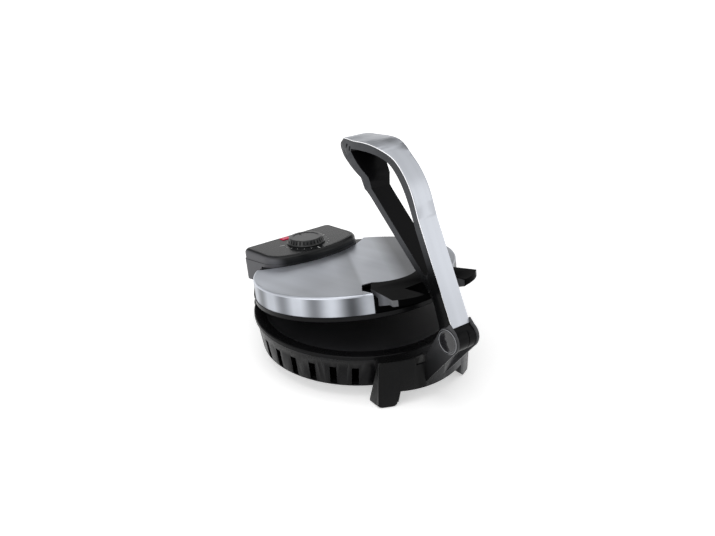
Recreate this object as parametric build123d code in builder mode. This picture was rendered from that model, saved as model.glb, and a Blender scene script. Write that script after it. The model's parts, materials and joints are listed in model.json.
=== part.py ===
from build123d import *
from math import atan2, cos, degrees, radians, sin
import os

# Electric roti maker: a round ribbed base with a heated plate, a round lid with a
# second plate hinged at the back, and a press lever that swings on a fork in front.
# Millimetres, +Z up, +Y towards the hinge, +X to the right of a person in front.
# Heights and distances are those of the closed appliance; the lid and the lever are
# then drawn on planes that are turned to the pose in which they rest.

# ---------------------------------------------------------------- driving sizes
plate_axis_y = 16.4        # from the middle of the footprint back to the plates' axis

# base
rim_r = 116.0              # outer radius of the base's rim
rim_z = 54.0               # top of the rim above the table
rim_depth = 5.0            # height of the plain band below the rim's top
wall_top_r = rim_r - 2.0   # ribbed wall, just below the band
wall_foot_r = rim_r - 8.6  # ribbed wall, at its lower edge
wall_foot_z = 15.0         # lower edge of the ribbed wall
shell = 2.4                # wall of the mouldings
slot_pitch = 12.0          # degrees from one vent slot to the next
slot_width = 7.6
slot_low_z = wall_foot_z + 1.4
slot_top_z = rim_z - 15.5
ledge_width = 8.0          # ledge that carries the plate
cover_thick = 2.5          # bottom cover

# plates and heaters
plate_r = rim_r - 12.0
plate_thick = 5.0
plate_lip = 0.8            # raised edge of the baking surface
lower_face_z = rim_z - 1.4  # baking surface of the lower plate
upper_face_z = lower_face_z + 2.3  # the upper plate's, lid closed
heater_r = 72.0            # radius of the heater's ring
heater_tube_r = 3.3
heater_arc = 300.0         # degrees of ring, the rest is the gap between its ends
heater_leg = 9.0           # straight ends that carry the terminals
heater_boss = 12.0         # width of the cast ridge round the heater
seat_gap = 0.15            # clearance of pieces that seat in each other

# front bracket with the two front feet and the lever's fork
panel_r = rim_r + 14.0     # front panel, about the plates' axis
panel_half = 30.0          # degrees, half of the panel's sweep
panel_foot_z = 15.0        # top of the arch between the feet
arch_half = 46.0           # half width of the arch at the table
foot_round = 4.5           # rounding of a foot's lower corners
gusset_deep = 17.5         # how far the side of a foot runs back
foot_back_r = rim_r + 1.0  # back of a front foot at the table
pad_stand = 1.0            # how far the rubber pads stand out under the feet
pad_r = 5.0
pad_thick = 3.0

# lever pivot
pivot_y = -(panel_r + 27.9) # from the plates' axis
pivot_z = rim_z + 26.8
axle_r = 4.0
hub_r = 13.0
hub_half = 11.5
washer_thick = 0.6
washer_r = 9.0
ear_r = 14.0
ear_thick = 2.0
horn_high = 18.6           # point of an ear above the pivot
cap_r = 13.2
cap_thick = 1.0
cap_dome = 1.1
side_gap = 0.1             # axial play at the pivot, each side of a washer
run_gap = 0.05             # radial clearance of a shaft in its bore

# lever, drawn with its inner arm level
lever_angle = 39.5         # inner arm above level in the resting pose
lever_half = 12.0          # half width of the arms
head_half = 18.7           # half width of the flared head
tip_half = 13.0
tip_x = 236.8              # from the pivot to the tip
arm_low = 9.7              # underside and top of the inner arm
arm_high = 18.4
step_x = 178.0             # where the inner arm steps up to clear the control box
step_rise = 7.3
cover_sheet = 0.9          # stainless cover of the lever

# hinge at the back
hinge_y = rim_r + 9.8
hinge_z = rim_z - 3.5
pin_r = 3.0
knuckle_r = 6.4
knuckle_half = 24.0
base_ear = 6.0             # width of a hinge ear on the base
hinge_play = 0.4           # axial play between the knuckle and the ears

# lid
lid_open = 10.0            # degrees, the resting pose
lid_r = rim_r - 4.0
lid_high = 21.2            # stainless skirt, from the trim ring to the top
lid_sheet = 1.0
lid_edge = 2.5             # rounding of the stainless edge
trim_r = lid_r + 0.8
trim_low_z = rim_z + 0.5
trim_high_z = trim_low_z + 5.3
lid_top_z = trim_high_z + lid_high
front_cut = 28.4           # degrees each side of the front where the stainless stops
tongue_y = -85.0
notch_y = -67.3            # inner corners of the front cut-out
notch_half = 42.8
tongue_half = 32.3         # the tongue's arc starts here
tongue_side_y = -69.1
notch_side = 54.6          # sides of the cut-out
notch_side_y = -82.3

# front handle
handle_top_z = lid_top_z + 0.2
handle_well = 7.0          # depth of the slots beside the handle's root
handle_tip_half = 57.0
handle_tip_y = -(lid_r + 20.4)
handle_front_y = -(lid_r + 34.0)
handle_gate_half = 26.0    # opening for the lever
handle_gate_y = -(lid_r + 2.5)

# control box
box_half = 63.5
box_rear_y = hinge_y + 5.7
box_front_y = box_rear_y - 80.0
box_front_r = 121.0        # plan radius of its front
box_low_z = trim_high_z + 0.1
box_rear_z = lid_top_z + 15.0  # top of the panel at the back
panel_slope = 3.4          # degrees, down towards the front
panel_thick = 3.2
box_round = 5.0            # rounding of the box's upper edge
box_front_round = 26.0     # plan rounding of its front corners
box_rear_round = 9.0
knob_y = box_rear_y - 42.3
knob_r = 19.4
knob_skirt_r = 22.4
knob_high = 7.2
knob_flutes = 30
spindle_r = 3.0
lens_x = 8.8
lens_y = box_rear_y - 12.0
lens_half = 5.9            # half length of a lens
lens_wide = 4.2            # half width of a lens

# cord entry
gland_x = -52.0
gland_z = rim_z - 20.0
gland_bore_r = 3.6
gland_r = 6.0

# fasteners
screw_r = 1.5
screw_head_r = 3.0
screw_head = 1.8
post_r = 4.5

# ---------------------------------------------------------------- planes
def level(z):
    """Horizontal plane on the plates' axis."""
    return Plane(origin=(0, plate_axis_y, z))


def side(x=0.0):
    """Upright plane across the width: local x is +Y, local y is +Z."""
    return Plane(origin=(x, plate_axis_y, 0), x_dir=(0, 1, 0), z_dir=(1, 0, 0))


hinge_plane = Plane(origin=(0, plate_axis_y + hinge_y, hinge_z)).rotated((-lid_open, 0, 0))


def lid_level(z):
    """Plane parallel to the lid, at the height it has when the lid is closed."""
    origin = hinge_plane.from_local_coords((0, -hinge_y, z - hinge_z))
    return Plane(origin=origin, x_dir=(1, 0, 0), z_dir=hinge_plane.z_dir)


def lid_side(x=0.0):
    """Upright plane that turns with the lid: local x is +Y, local y is +Z."""
    origin = hinge_plane.from_local_coords((x, -hinge_y, -hinge_z))
    return Plane(origin=origin, x_dir=hinge_plane.y_dir, z_dir=(1, 0, 0))


box_top_z = box_rear_z - (box_rear_y - knob_y) * sin(radians(panel_slope))
control_plane = Plane(
    origin=hinge_plane.from_local_coords((0, knob_y - hinge_y, box_top_z - hinge_z)),
    x_dir=(1, 0, 0),
    z_dir=hinge_plane.z_dir,
).rotated((panel_slope, 0, 0))

lever_dir = Vector(0, cos(radians(lever_angle)), sin(radians(lever_angle)))
lever_up = Vector(0, -sin(radians(lever_angle)), cos(radians(lever_angle)))
pivot = Vector(0, plate_axis_y + pivot_y, pivot_z)


def lever_side(x=0.0):
    """The lever's profile plane: local x runs along the inner arm."""
    return Plane(origin=pivot + Vector(x, 0, 0), x_dir=lever_dir, z_dir=(1, 0, 0))


def lever_plan(y=0.0):
    """Plane along the inner arm, y above the pivot: local x runs along the arm."""
    return Plane(origin=pivot + lever_up * y, x_dir=lever_dir, z_dir=lever_up)


def finish(name, part, folder="parts"):
    """Labels a finished piece and writes its STEP file."""
    part.label = name
    export_step(part, os.path.join(folder, name + ".step"))


os.makedirs("parts", exist_ok=True)


def polar(radius, angle):
    """Point at an angle measured from the front, positive towards +X."""
    return (radius * sin(radians(angle)), -radius * cos(radians(angle)))


def ring_sector(inner, outer, half, middle=0.0):
    """Face between two radii, half degrees each side of an angle from the front."""
    first, last = middle - half, middle + half
    with BuildSketch(mode=Mode.PRIVATE) as sector:
        with BuildLine():
            ThreePointArc(polar(outer, first), polar(outer, middle), polar(outer, last))
            Line(polar(outer, last), polar(inner, last))
            ThreePointArc(polar(inner, last), polar(inner, middle), polar(inner, first))
            Line(polar(inner, first), polar(outer, first))
        make_face()
    return sector.sketch


def turned(points, plane):
    """Solid of revolution about the plates' axis from (radius, height) points."""
    with BuildPart(mode=Mode.PRIVATE) as body:
        with BuildSketch(plane):
            Polygon(*points, align=None)
        revolve(axis=Axis(plane.origin, plane.y_dir))
    return body.part


def wall_radius(z):
    """Outer radius of the ribbed wall at a height."""
    share = (z - wall_foot_z) / (rim_z - rim_depth - wall_foot_z)
    return wall_foot_r + (wall_top_r - wall_foot_r) * share


base_side = Plane(origin=(0, plate_axis_y, 0), x_dir=(1, 0, 0), z_dir=(0, -1, 0))
lid_turn = Plane(
    origin=hinge_plane.from_local_coords((0, -hinge_y, -hinge_z)),
    x_dir=(1, 0, 0),
    z_dir=-hinge_plane.y_dir,
)

# ---------------------------------------------------------------- base housing
rim_low_z = rim_z - rim_depth
ledge_z = lower_face_z - plate_thick
seat_r = plate_r + seat_gap
ledge_r = plate_r - ledge_width
housing_outline = (
    (wall_foot_r, wall_foot_z),
    (wall_top_r, rim_low_z),
    (rim_r, rim_low_z + 0.8),
    (rim_r, rim_z - 0.8),
    (rim_r - 0.8, rim_z),
    (seat_r, rim_z),
    (seat_r, ledge_z),
    (ledge_r, ledge_z),
    (ledge_r, ledge_z - shell),
    (seat_r + shell, ledge_z - shell),
    (seat_r + shell, rim_z - shell),
    (rim_r - shell - 0.6, rim_z - shell),
    (wall_top_r - shell, rim_low_z - 2.0),
    (wall_foot_r - shell, wall_foot_z),
)
slot_count = 9
first_slot = 40.3
post_ring_r = plate_r - 5.0
cover_top_z = wall_foot_z + 3.0
gland_turn = 152.0
gland_face_r = wall_top_r + 0.5
gland_dir = Vector(*polar(1, -gland_turn), 0)
gland_plane = Plane(
    origin=Vector(0, plate_axis_y, gland_z) + gland_dir * gland_face_r,
    x_dir=(gland_dir.Y, -gland_dir.X, 0),
    z_dir=gland_dir,
)
ear_inner = knuckle_half + hinge_play
slot_span = slot_pitch * (slot_count - 1)

with BuildPart() as base_housing:
    add(turned(housing_outline, base_side))
    # posts for the bottom cover's screws
    with BuildSketch(level(cover_top_z)):
        with PolarLocations(post_ring_r, 4, start_angle=45):
            Circle(post_r)
    extrude(amount=ledge_z - shell - cover_top_z)
    # boss for the cord gland
    with BuildSketch(gland_plane):
        Circle(gland_r + 3.8)
    extrude(amount=-9)
    # ears of the hinge, with the web that ties them to the wall
    for ear_x in (ear_inner, -ear_inner - base_ear):
        with BuildSketch(side(ear_x)):
            with BuildLine():
                ear_line = Polyline(
                    (hinge_y, hinge_z + pin_r + 4),
                    (wall_top_r, rim_low_z - 1),
                    (wall_top_r - 8, rim_low_z - 4),
                    (wall_top_r - 8, wall_foot_z + 14),
                    (hinge_y + 4.2, hinge_z - 5.6),
                    (hinge_y + pin_r + 4, hinge_z),
                    close=True,
                )
            make_face()
            with Locations((hinge_y, hinge_z)):
                Circle(pin_r + 4)
        extrude(amount=base_ear)
    # vent slots, down to a narrow rail at the wall's lower edge
    for first in (-90 + first_slot, -90 - first_slot - slot_span):
        with BuildSketch(level(slot_low_z)):
            with PolarLocations(
                wall_foot_r + 2, slot_count, start_angle=first, angular_range=slot_span, endpoint=True
            ):
                Rectangle(16, slot_width)
        extrude(amount=slot_top_z - slot_low_z, mode=Mode.SUBTRACT)
    # bores: hinge pin, cord gland, screws
    with Locations(Plane(origin=(0, plate_axis_y + hinge_y, hinge_z), z_dir=(1, 0, 0))):
        Cylinder(pin_r + run_gap, 100, mode=Mode.SUBTRACT)
    with Locations(gland_plane):
        Cylinder(gland_r + seat_gap, 60, mode=Mode.SUBTRACT)
    with Locations(level(cover_top_z)):
        with PolarLocations(post_ring_r, 4, start_angle=45):
            Cylinder(screw_r + run_gap, 20, mode=Mode.SUBTRACT)
    # the plate's seat and the inside stay clear of ears, boss and posts
    with Locations(level(ledge_z)):
        Cylinder(post_ring_r - post_r, 80, mode=Mode.SUBTRACT)
    with Locations(level(ledge_z)):
        Cylinder(seat_r, 20, align=(Align.CENTER, Align.CENTER, Align.MIN), mode=Mode.SUBTRACT)
finish("base_housing", base_housing.part)

# ---------------------------------------------------------------- bottom cover
cover_r = wall_foot_r - shell - 0.3
with BuildPart() as base_bottom_cover:
    with BuildSketch(level(cover_top_z)):
        Circle(cover_r)
    extrude(amount=-cover_thick)
    # vents under the heater
    with BuildSketch(level(cover_top_z)):
        for vent_r in (30.0, 44.0, 58.0):
            with PolarLocations(vent_r, 12):
                SlotOverall(8.0, 3.0, rotation=90)
    extrude(amount=-cover_thick, mode=Mode.SUBTRACT)
    # screws pass the cover, their heads sit in counterbores
    with Locations(level(cover_top_z - cover_thick)):
        with PolarLocations(post_ring_r, 4, start_angle=45):
            Cylinder(screw_r + 0.2, 20, mode=Mode.SUBTRACT)
            Cylinder(screw_head_r + 0.3, 2 * screw_head * 0.6, mode=Mode.SUBTRACT)
finish("base_bottom_cover", base_bottom_cover.part)


def screws(plane, spots, shank, name):
    """Pan head screws: heads below the plane, shanks above it."""
    with BuildPart() as group:
        with BuildSketch(plane):
            with Locations(*spots):
                Circle(screw_head_r)
        extrude(amount=-screw_head)
        with BuildSketch(plane):
            with Locations(*spots):
                Circle(screw_r)
        extrude(amount=shank)
        with BuildSketch(plane.offset(-screw_head)):
            with Locations(*spots):
                Rectangle(screw_head_r * 1.2, 0.7)
                Rectangle(0.7, screw_head_r * 1.2)
        extrude(amount=screw_head / 2, mode=Mode.SUBTRACT)
    finish(name, group.part)


def ring_spots(radius, count, first=0.0):
    """Points spread round a circle, the first at an angle from the front."""
    return [polar(radius, first + 360.0 / count * k) for k in range(count)]


screws(
    level(cover_top_z - cover_thick + screw_head * 0.6),
    ring_spots(post_ring_r, 4, 45),
    9.0,
    "bottom_screws",
)

# ---------------------------------------------------------------- rear feet, pads
foot_top_z = cover_top_z - cover_thick
rear_foot_r = wall_foot_r - 19.4
front_pad_r = panel_r - 9.6
rear_foot_spots = [polar(rear_foot_r, 142), polar(rear_foot_r, -142)]
front_pad_spots = [polar(front_pad_r, 27), polar(front_pad_r, -27)]
with BuildPart() as rear_feet:
    for spot in rear_foot_spots:
        with Locations(level(pad_stand)):
            with Locations((*spot, 0)):
                Cone(7.5, 10.0, foot_top_z - pad_stand, align=(Align.CENTER, Align.CENTER, Align.MIN))
    with BuildSketch(level(pad_stand)):
        with Locations(*rear_foot_spots):
            Circle(pad_r + seat_gap)
    extrude(amount=pad_thick - pad_stand, mode=Mode.SUBTRACT)
finish("rear_feet", rear_feet.part)

with BuildPart() as foot_pads:
    with BuildSketch(level(0)):
        with Locations(*rear_foot_spots, *front_pad_spots):
            Circle(pad_r)
    extrude(amount=pad_thick)
    chamfer(foot_pads.edges().group_by(Axis.Z)[0], 0.4)
finish("foot_pads", foot_pads.part)

# ---------------------------------------------------------------- front bracket
bracket_gap = 0.3
bracket_inner = (
    (0, -1),
    (foot_back_r - 3, -1),
    (foot_back_r - 3, slot_top_z),
    (wall_top_r + 1.0, rim_low_z),
    (rim_r + bracket_gap, rim_low_z + 0.5),
    (rim_r + bracket_gap, rim_z + 20),
    (0, rim_z + 20),
)
ear_x0 = hub_half + side_gap + washer_thick + side_gap
fork_half = ear_x0 + ear_thick
with BuildPart() as front_bracket:
    # panel and feet as one curved block
    extrude(level(pad_stand) * ring_sector(100, panel_r, panel_half), rim_z - 0.5 - pad_stand)
    fillet(front_bracket.edges().filter_by(Axis.Z).sort_by(Axis.Y)[:2], 3.0)
    fillet(front_bracket.faces().sort_by(Axis.Z)[-1].edges().sort_by(Axis.Y)[0], 1.2)
    # hollow behind the panel and inside the feet
    extrude(
        level(pad_thick + 2) * ring_sector(90, panel_r - shell, panel_half - 1.3),
        rim_z - 0.5 - shell - pad_thick - 2,
        mode=Mode.SUBTRACT,
    )
    # arch between the feet
    with BuildSketch(base_side):
        with BuildLine():
            Polyline((-arch_half, -1), (3 - arch_half, panel_foot_z + 2.5))
            ThreePointArc((3 - arch_half, panel_foot_z + 2.5), (0, panel_foot_z), (arch_half - 3, panel_foot_z + 2.5))
            Polyline((arch_half - 3, panel_foot_z + 2.5), (arch_half, -1), (-arch_half, -1))
        make_face()
    extrude(amount=160, mode=Mode.SUBTRACT)
    # inner walls of the feet
    for wall_x in (arch_half, -arch_half - shell):
        with BuildSketch(side(wall_x)):
            Polygon(
                (-panel_r + 10, pad_stand),
                (-panel_r + 10, rim_z - 2),
                (-foot_back_r + 12, rim_z - 2),
                (-foot_back_r + 12, pad_stand),
                align=None,
            )
        extrude(amount=shell)
    # gussets that run back from the outer corners, narrowing to the top
    for way in (1, -1):
        corner_x, corner_y = polar(panel_r - 0.4, way * (panel_half - 0.4))
        inner_x, inner_y = polar(foot_back_r - 3, way * (panel_half - 2))
        with BuildSketch(level(pad_stand)):
            Polygon(
                (corner_x, corner_y),
                (corner_x - way * 2.4, corner_y + gusset_deep),
                (inner_x, inner_y),
                align=None,
            )
        with BuildSketch(level(rim_z - 4)):
            Polygon(
                (corner_x, corner_y),
                (corner_x - way * 0.6, corner_y + 3.0),
                (corner_x - way * 4, corner_y + 4.4),
                align=None,
            )
        loft()
    # rounded lower corners of the feet
    for turn in (1, -1):
        with BuildSketch(base_side):
            for corner, run in ((arch_half, 1), (panel_r * sin(radians(panel_half)), -1)):
                with Locations((turn * (corner + run * (foot_round / 2 - 2)), pad_stand + foot_round / 2 - 1)):
                    Rectangle(foot_round + 4, foot_round + 2)
                with Locations((turn * (corner + run * foot_round), pad_stand + foot_round)):
                    Circle(foot_round, mode=Mode.SUBTRACT)
        extrude(amount=160, mode=Mode.SUBTRACT)
    # neck: two cheeks and a web, up to the fork
    for ear_x in (ear_x0, -fork_half):
        with BuildSketch(side(ear_x)):
            with BuildLine():
                Polyline(
                    (pivot_y + 12.3, pivot_z + 6.7),
                    (1.4 - panel_r, rim_z - 0.5),
                    (3.0 - panel_r, rim_z - 32),
                    (0.4 - panel_r, rim_z - 32),
                    (pivot_y - 9.3, pivot_z - 10.45),
                    (pivot_y, pivot_z),
                    close=True,
                )
            make_face()
            with Locations((pivot_y, pivot_z)):
                Circle(ear_r)
                # point that rises beside the lever
                Polygon((-13.2, 4.5), (-9.0, 11.5), (-0.5, horn_high), (4.0, 13.4), (0, 0), align=None)
        extrude(amount=ear_thick)
    with BuildSketch(side(-fork_half)):
        Polygon(
            (0.4 - panel_r, rim_z - 32),
            (3.0 - panel_r, rim_z - 32),
            (1.4 - panel_r, rim_z - 0.5),
            (pivot_y + 12.6, pivot_z - 11.0),
            (pivot_y + 8.0, pivot_z - 14.6),
            (pivot_y + 3.0, pivot_z - 15.6),
            align=None,
        )
    extrude(amount=2 * fork_half)
    # recesses in the panel's top edge beside the neck
    for notch_x in (-fork_half - 6.5, fork_half + 6.5):
        with BuildSketch(Plane(origin=(notch_x, plate_axis_y - panel_r, rim_z), x_dir=(1, 0, 0), z_dir=(0, -1, 0))):
            Rectangle(12.0, 19.0)
        extrude(amount=-7.0, mode=Mode.SUBTRACT)
    # the lever's hub turns clear of the web
    with Locations(Plane(origin=pivot, z_dir=(1, 0, 0))):
        Cylinder(hub_r + 1.2, 2 * ear_x0, mode=Mode.SUBTRACT)
        Cylinder(axle_r + run_gap, 60, mode=Mode.SUBTRACT)
    add(turned(bracket_inner, base_side), mode=Mode.SUBTRACT)
    # seats of the rubber pads
    with BuildSketch(level(pad_stand)):
        with Locations(*front_pad_spots):
            Circle(pad_r + seat_gap)
    extrude(amount=pad_thick - pad_stand, mode=Mode.SUBTRACT)
finish("front_bracket", front_bracket.part)


# ---------------------------------------------------------------- plates and heaters
def plate(surface, up, name, pilots=()):
    """Cast plate: baking face, raised edge, heater ridge and posts behind it."""
    back = -up
    with BuildPart() as body:
        with BuildSketch(surface):
            Circle(plate_r)
        extrude(amount=back * plate_thick)
        with BuildSketch(surface):
            Circle(plate_r)
            Circle(plate_r - 2.5, mode=Mode.SUBTRACT)
        extrude(amount=up * plate_lip)
        with BuildSketch(surface.offset(back * plate_thick)):
            Circle(heater_r + heater_boss / 2)
            Circle(heater_r - heater_boss / 2, mode=Mode.SUBTRACT)
            with PolarLocations(plate_post_r, 3, start_angle=90):
                Circle(post_r)
        extrude(amount=back * ridge_high)
        with BuildSketch(surface.offset(back * (plate_thick + ridge_high))):
            with PolarLocations(plate_post_r, 3, start_angle=90):
                Circle(post_r)
        extrude(amount=back * (shield_drop - plate_thick - ridge_high))
        with Locations(surface.offset(back * shield_drop)):
            with PolarLocations(plate_post_r, 3, start_angle=90):
                Cylinder(screw_r + run_gap, 12, mode=Mode.SUBTRACT)
        for spot in pilots:
            with Locations(surface.offset(back * (plate_thick - 2.0))):
                with Locations(spot):
                    Cylinder(screw_r + run_gap, 4.2, mode=Mode.SUBTRACT)
        # groove of the heater ring
        with Locations(surface.offset(back * heater_drop)):
            Torus(heater_r, heater_tube_r + seat_gap, mode=Mode.SUBTRACT)
    finish(name, body.part)


def heater(surface, up, name):
    """Tubular ring heater with two straight ends."""
    middle = surface.offset(-up * heater_drop)
    gap = (360.0 - heater_arc) / 2
    ends = [polar(heater_r, 180 - gap), polar(heater_r, 180 + gap)]
    with BuildPart() as body:
        with BuildLine(middle):
            ThreePointArc(ends[0], polar(heater_r, 0), ends[1])
        with BuildSketch(Plane(origin=middle.from_local_coords((*ends[0], 0)), z_dir=middle.from_local_coords(
            (*polar(1, 90 + 180 - gap), 0)) - middle.origin)):
            Circle(heater_tube_r)
        sweep()
        for end in ends:
            with BuildSketch(middle):
                with Locations(end):
                    Circle(heater_tube_r * 0.86)
            extrude(amount=-up * heater_leg)
    finish(name, body.part)


def shield(surface, up, name):
    """Thin dished sheet behind a heater, with holes for screws and heater ends."""
    back = -up
    gap = (360.0 - heater_arc) / 2
    with BuildPart() as body:
        with BuildSketch(surface.offset(back * shield_drop)):
            Circle(shield_r)
            with PolarLocations(plate_post_r, 3, start_angle=90):
                Circle(screw_r + 0.2, mode=Mode.SUBTRACT)
            with Locations(polar(heater_r, 180 - gap), polar(heater_r, 180 + gap)):
                Circle(heater_tube_r + 1.5, mode=Mode.SUBTRACT)
            with PolarLocations(20, 6):
                SlotOverall(9, 3, mode=Mode.SUBTRACT)
        extrude(amount=back * shield_thick)
        with BuildSketch(surface.offset(back * shield_drop)):
            Circle(shield_r)
            Circle(shield_r - shield_thick, mode=Mode.SUBTRACT)
        extrude(amount=up * shield_edge)
    finish(name, body.part)


plate_post_r = 40.0
ridge_high = 5.6
shield_drop = 14.6         # from the baking face to the shield
shield_thick = 0.8
shield_edge = 4.0
shield_r = 92.0
heater_drop = plate_thick + 4.4
lower_surface = level(lower_face_z)
upper_surface = lid_level(upper_face_z)
plate(lower_surface, 1, "lower_plate")
heater(lower_surface, 1, "lower_heater")
shield(lower_surface, 1, "lower_heat_shield")
screws(
    lower_surface.offset(-shield_drop - shield_thick),
    ring_spots(plate_post_r, 3, 180),
    5.0,
    "lower_plate_screws",
)
lid_screw_spots = ring_spots(post_ring_r, 4, 45)
plate(upper_surface, -1, "upper_plate", lid_screw_spots)
heater(upper_surface, -1, "upper_heater")
shield(upper_surface, -1, "upper_heat_shield")
flipped = upper_surface.offset(shield_drop + shield_thick)
flipped = Plane(origin=flipped.origin, x_dir=(-1, 0, 0), z_dir=-flipped.z_dir)
screws(flipped, ring_spots(plate_post_r, 3, 180), 5.0, "upper_plate_screws")

# ---------------------------------------------------------------- cord gland, terminals
with BuildPart() as cord_gland:
    with BuildSketch(gland_plane):
        Circle(gland_r)
    extrude(amount=-9)
    with BuildSketch(gland_plane):
        Circle(gland_r + 3.2)
    extrude(amount=2.0)
    with Locations(gland_plane.offset(2.0)):
        Cone(gland_r + 1.4, gland_r - 0.6, 14.0, align=(Align.CENTER, Align.CENTER, Align.MIN))
    for ring in range(3):
        with BuildSketch(gland_plane.offset(5.0 + 3.4 * ring)):
            Circle(gland_r + 3)
            Circle(gland_r - 0.4, mode=Mode.SUBTRACT)
        extrude(amount=1.4, mode=Mode.SUBTRACT)
    with Locations(gland_plane):
        Cylinder(gland_bore_r, 80, mode=Mode.SUBTRACT)
finish("cord_gland", cord_gland.part)

with BuildPart() as terminal_block:
    with BuildSketch(level(cover_top_z)):
        with Locations((-36, 50)):
            RectangleRounded(30, 14, 1.5)
    extrude(amount=9)
    with BuildSketch(level(cover_top_z + 9)):
        with Locations((-36, 50)):
            with GridLocations(9, 1, 3, 1):
                Circle(2.4)
    extrude(amount=-5, mode=Mode.SUBTRACT)
finish("terminal_block", terminal_block.part)

# ---------------------------------------------------------------- lever pivot
pivot_cross = Plane(origin=pivot, x_dir=(0, 1, 0), z_dir=(1, 0, 0))
with BuildPart() as pivot_axle:
    with BuildSketch(pivot_cross.offset(-fork_half - side_gap)):
        Circle(axle_r)
    extrude(amount=2 * (fork_half + side_gap))
finish("pivot_axle", pivot_axle.part)

with BuildPart() as pivot_washers:
    for start in (hub_half + side_gap, -hub_half - side_gap - washer_thick):
        with BuildSketch(pivot_cross.offset(start)):
            Circle(washer_r)
            Circle(axle_r + 0.02, mode=Mode.SUBTRACT)
        extrude(amount=washer_thick)
finish("pivot_washers", pivot_washers.part)

def dome(plane, radius, height):
    """Low spherical cap of a radius and a height, standing on a plane."""
    ball = (radius**2 + height**2) / (2 * height)
    stub = Cylinder(radius, height + 0.4, align=(Align.CENTER, Align.CENTER, Align.MIN))
    return plane * (Pos(0, 0, height - ball) * Sphere(ball) & stub)


cap_faces = [pivot_cross.offset(fork_half + side_gap)]
cap_faces.append(Plane(origin=pivot - Vector(fork_half + side_gap, 0, 0), x_dir=(0, 1, 0), z_dir=(-1, 0, 0)))
cap_domes = [dome(face.offset(cap_thick - 0.01), cap_r - 4.2, cap_dome) for face in cap_faces]
with BuildPart() as pivot_caps:
    for face in cap_faces:
        with BuildSketch(face):
            Circle(cap_r)
        extrude(amount=cap_thick)
        with BuildSketch(face.offset(cap_thick)):
            Circle(cap_r)
            Circle(cap_r - 2.4, mode=Mode.SUBTRACT)
        extrude(amount=0.8)
    chamfer(pivot_caps.faces().group_by(Axis.X)[0].edges(), 0.3)
    chamfer(pivot_caps.faces().group_by(Axis.X)[-1].edges(), 0.3)
    add(cap_domes)
finish("pivot_caps", pivot_caps.part)

# ---------------------------------------------------------------- lever
outer_edge = ((7.0, 12.6), (105.0, 52.0))
outer_curve = (
    (105.0, 52.0), (129.0, 63.6), (157.0, 70.2), (183.0, 66.4), (203.0, 55.4), (221.0, 37.4), (tip_x - 0.3, 18.5)
)
loop_curve = ((105.0, 42.4), (130.0, 53.8), (158.0, 60.6), (183.0, 57.2), (201.0, 45.2), (215.0, 30.6))
outer_slope = (outer_edge[1][0] - outer_edge[0][0], outer_edge[1][1] - outer_edge[0][1])


def arm_plan():
    """Plan outline of the lever, seen square to its inner arm."""
    flare = ((166, -lever_half), (184, -lever_half - 3.0), (194, -lever_half - 5.4), (207, -head_half))
    nose = ((207, -head_half), (220, -head_half + 0.8), (228, -head_half + 3.0), (tip_x - 3.3, -tip_half))
    with BuildSketch(lever_plan(), mode=Mode.PRIVATE) as plan:
        with BuildLine():
            Line((-30, -lever_half), (166, -lever_half))
            Spline(*flare, tangents=((1, 0), (1, 0)))
            Spline(*nose, tangents=((1, 0), (0.5, 1)))
            ThreePointArc(nose[-1], (tip_x, 0), (nose[-1][0], tip_half))
            Spline(*[(x, -y) for x, y in nose[::-1]], tangents=((-0.5, 1), (-1, 0)))
            Spline(*[(x, -y) for x, y in flare[::-1]], tangents=((-1, 0), (-1, 0)))
            Line((166, lever_half), (-30, lever_half))
            Line((-30, lever_half), (-30, -lever_half))
        make_face()
    return plan.sketch


def lever_profile():
    """Side profile of the whole lever, without the hand hold."""
    with BuildSketch(mode=Mode.PRIVATE) as profile:
        with BuildLine():
            Line((-hub_r + 1, 0), outer_edge[0])
            Line(outer_edge[0], outer_edge[1])
            Spline(*outer_curve, tangents=(outer_slope, (0.5, -1)))
            Polyline(
                outer_curve[-1],
                (228.0, arm_low + 5.1),
                (206.0, arm_low + 6.8),
                (step_x + 9.5, arm_low + step_rise + 0.6),
                (step_x, arm_low + 0.7),
                (56.0, arm_low + 1.4),
                (48.0, 10.6),
                (36.0, 7.2),
                (17.0, -3.0),
                (9.0, -9.4),
                (-hub_r + 1, 0),
            )
        make_face()
        Circle(hub_r)
    return profile.sketch


def hand_hold():
    """Side profile of the opening between the two arms."""
    with BuildSketch(mode=Mode.PRIVATE) as hole:
        with BuildLine():
            Spline(*loop_curve)
            Polyline(
                loop_curve[-1],
                (213.2, arm_high + 10.2),
                (194.0, arm_high + 8.1),
                (step_x + 3.5, arm_high + step_rise),
                (step_x - 6, arm_high),
                (68.5, arm_high),
                (64.5, 20.8),
                (66.0, 26.6),
                loop_curve[0],
            )
        make_face()
    return hole.sketch


def across(sketch):
    """Profile extruded over the width of the lever and trimmed to its plan."""
    return extrude(lever_side() * sketch, 40, both=True) & arm_solid


def skin_band(outside, inside):
    """Strip along the outer face, between two distances measured inwards."""
    curve = Spline(*outer_curve, tangents=(outer_slope, (0.5, -1)))
    steps = [k / 14 for k in range(15)]

    def shifted(depth):
        spots = []
        for step in steps:
            spot, way = curve @ step, curve % step
            spots.append((spot.X + way.Y * depth, spot.Y - way.X * depth))
        way = Vector(*outer_slope).normalized()
        start = (outer_edge[0][0] + way.Y * depth, outer_edge[0][1] - way.X * depth)
        return start, spots

    high_start, high = shifted(outside)
    low_start, low = shifted(inside)
    with BuildSketch(mode=Mode.PRIVATE) as band:
        with BuildLine():
            Line(high_start, high[0])
            if outside == 0:
                Spline(*outer_curve, tangents=(outer_slope, (0.5, -1)))
            else:
                Spline(*high)
            Line(high[-1], low[-1])
            Spline(*low[::-1])
            Line(low[0], low_start)
            Line(low_start, high_start)
        make_face()
    return band.sketch


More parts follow.
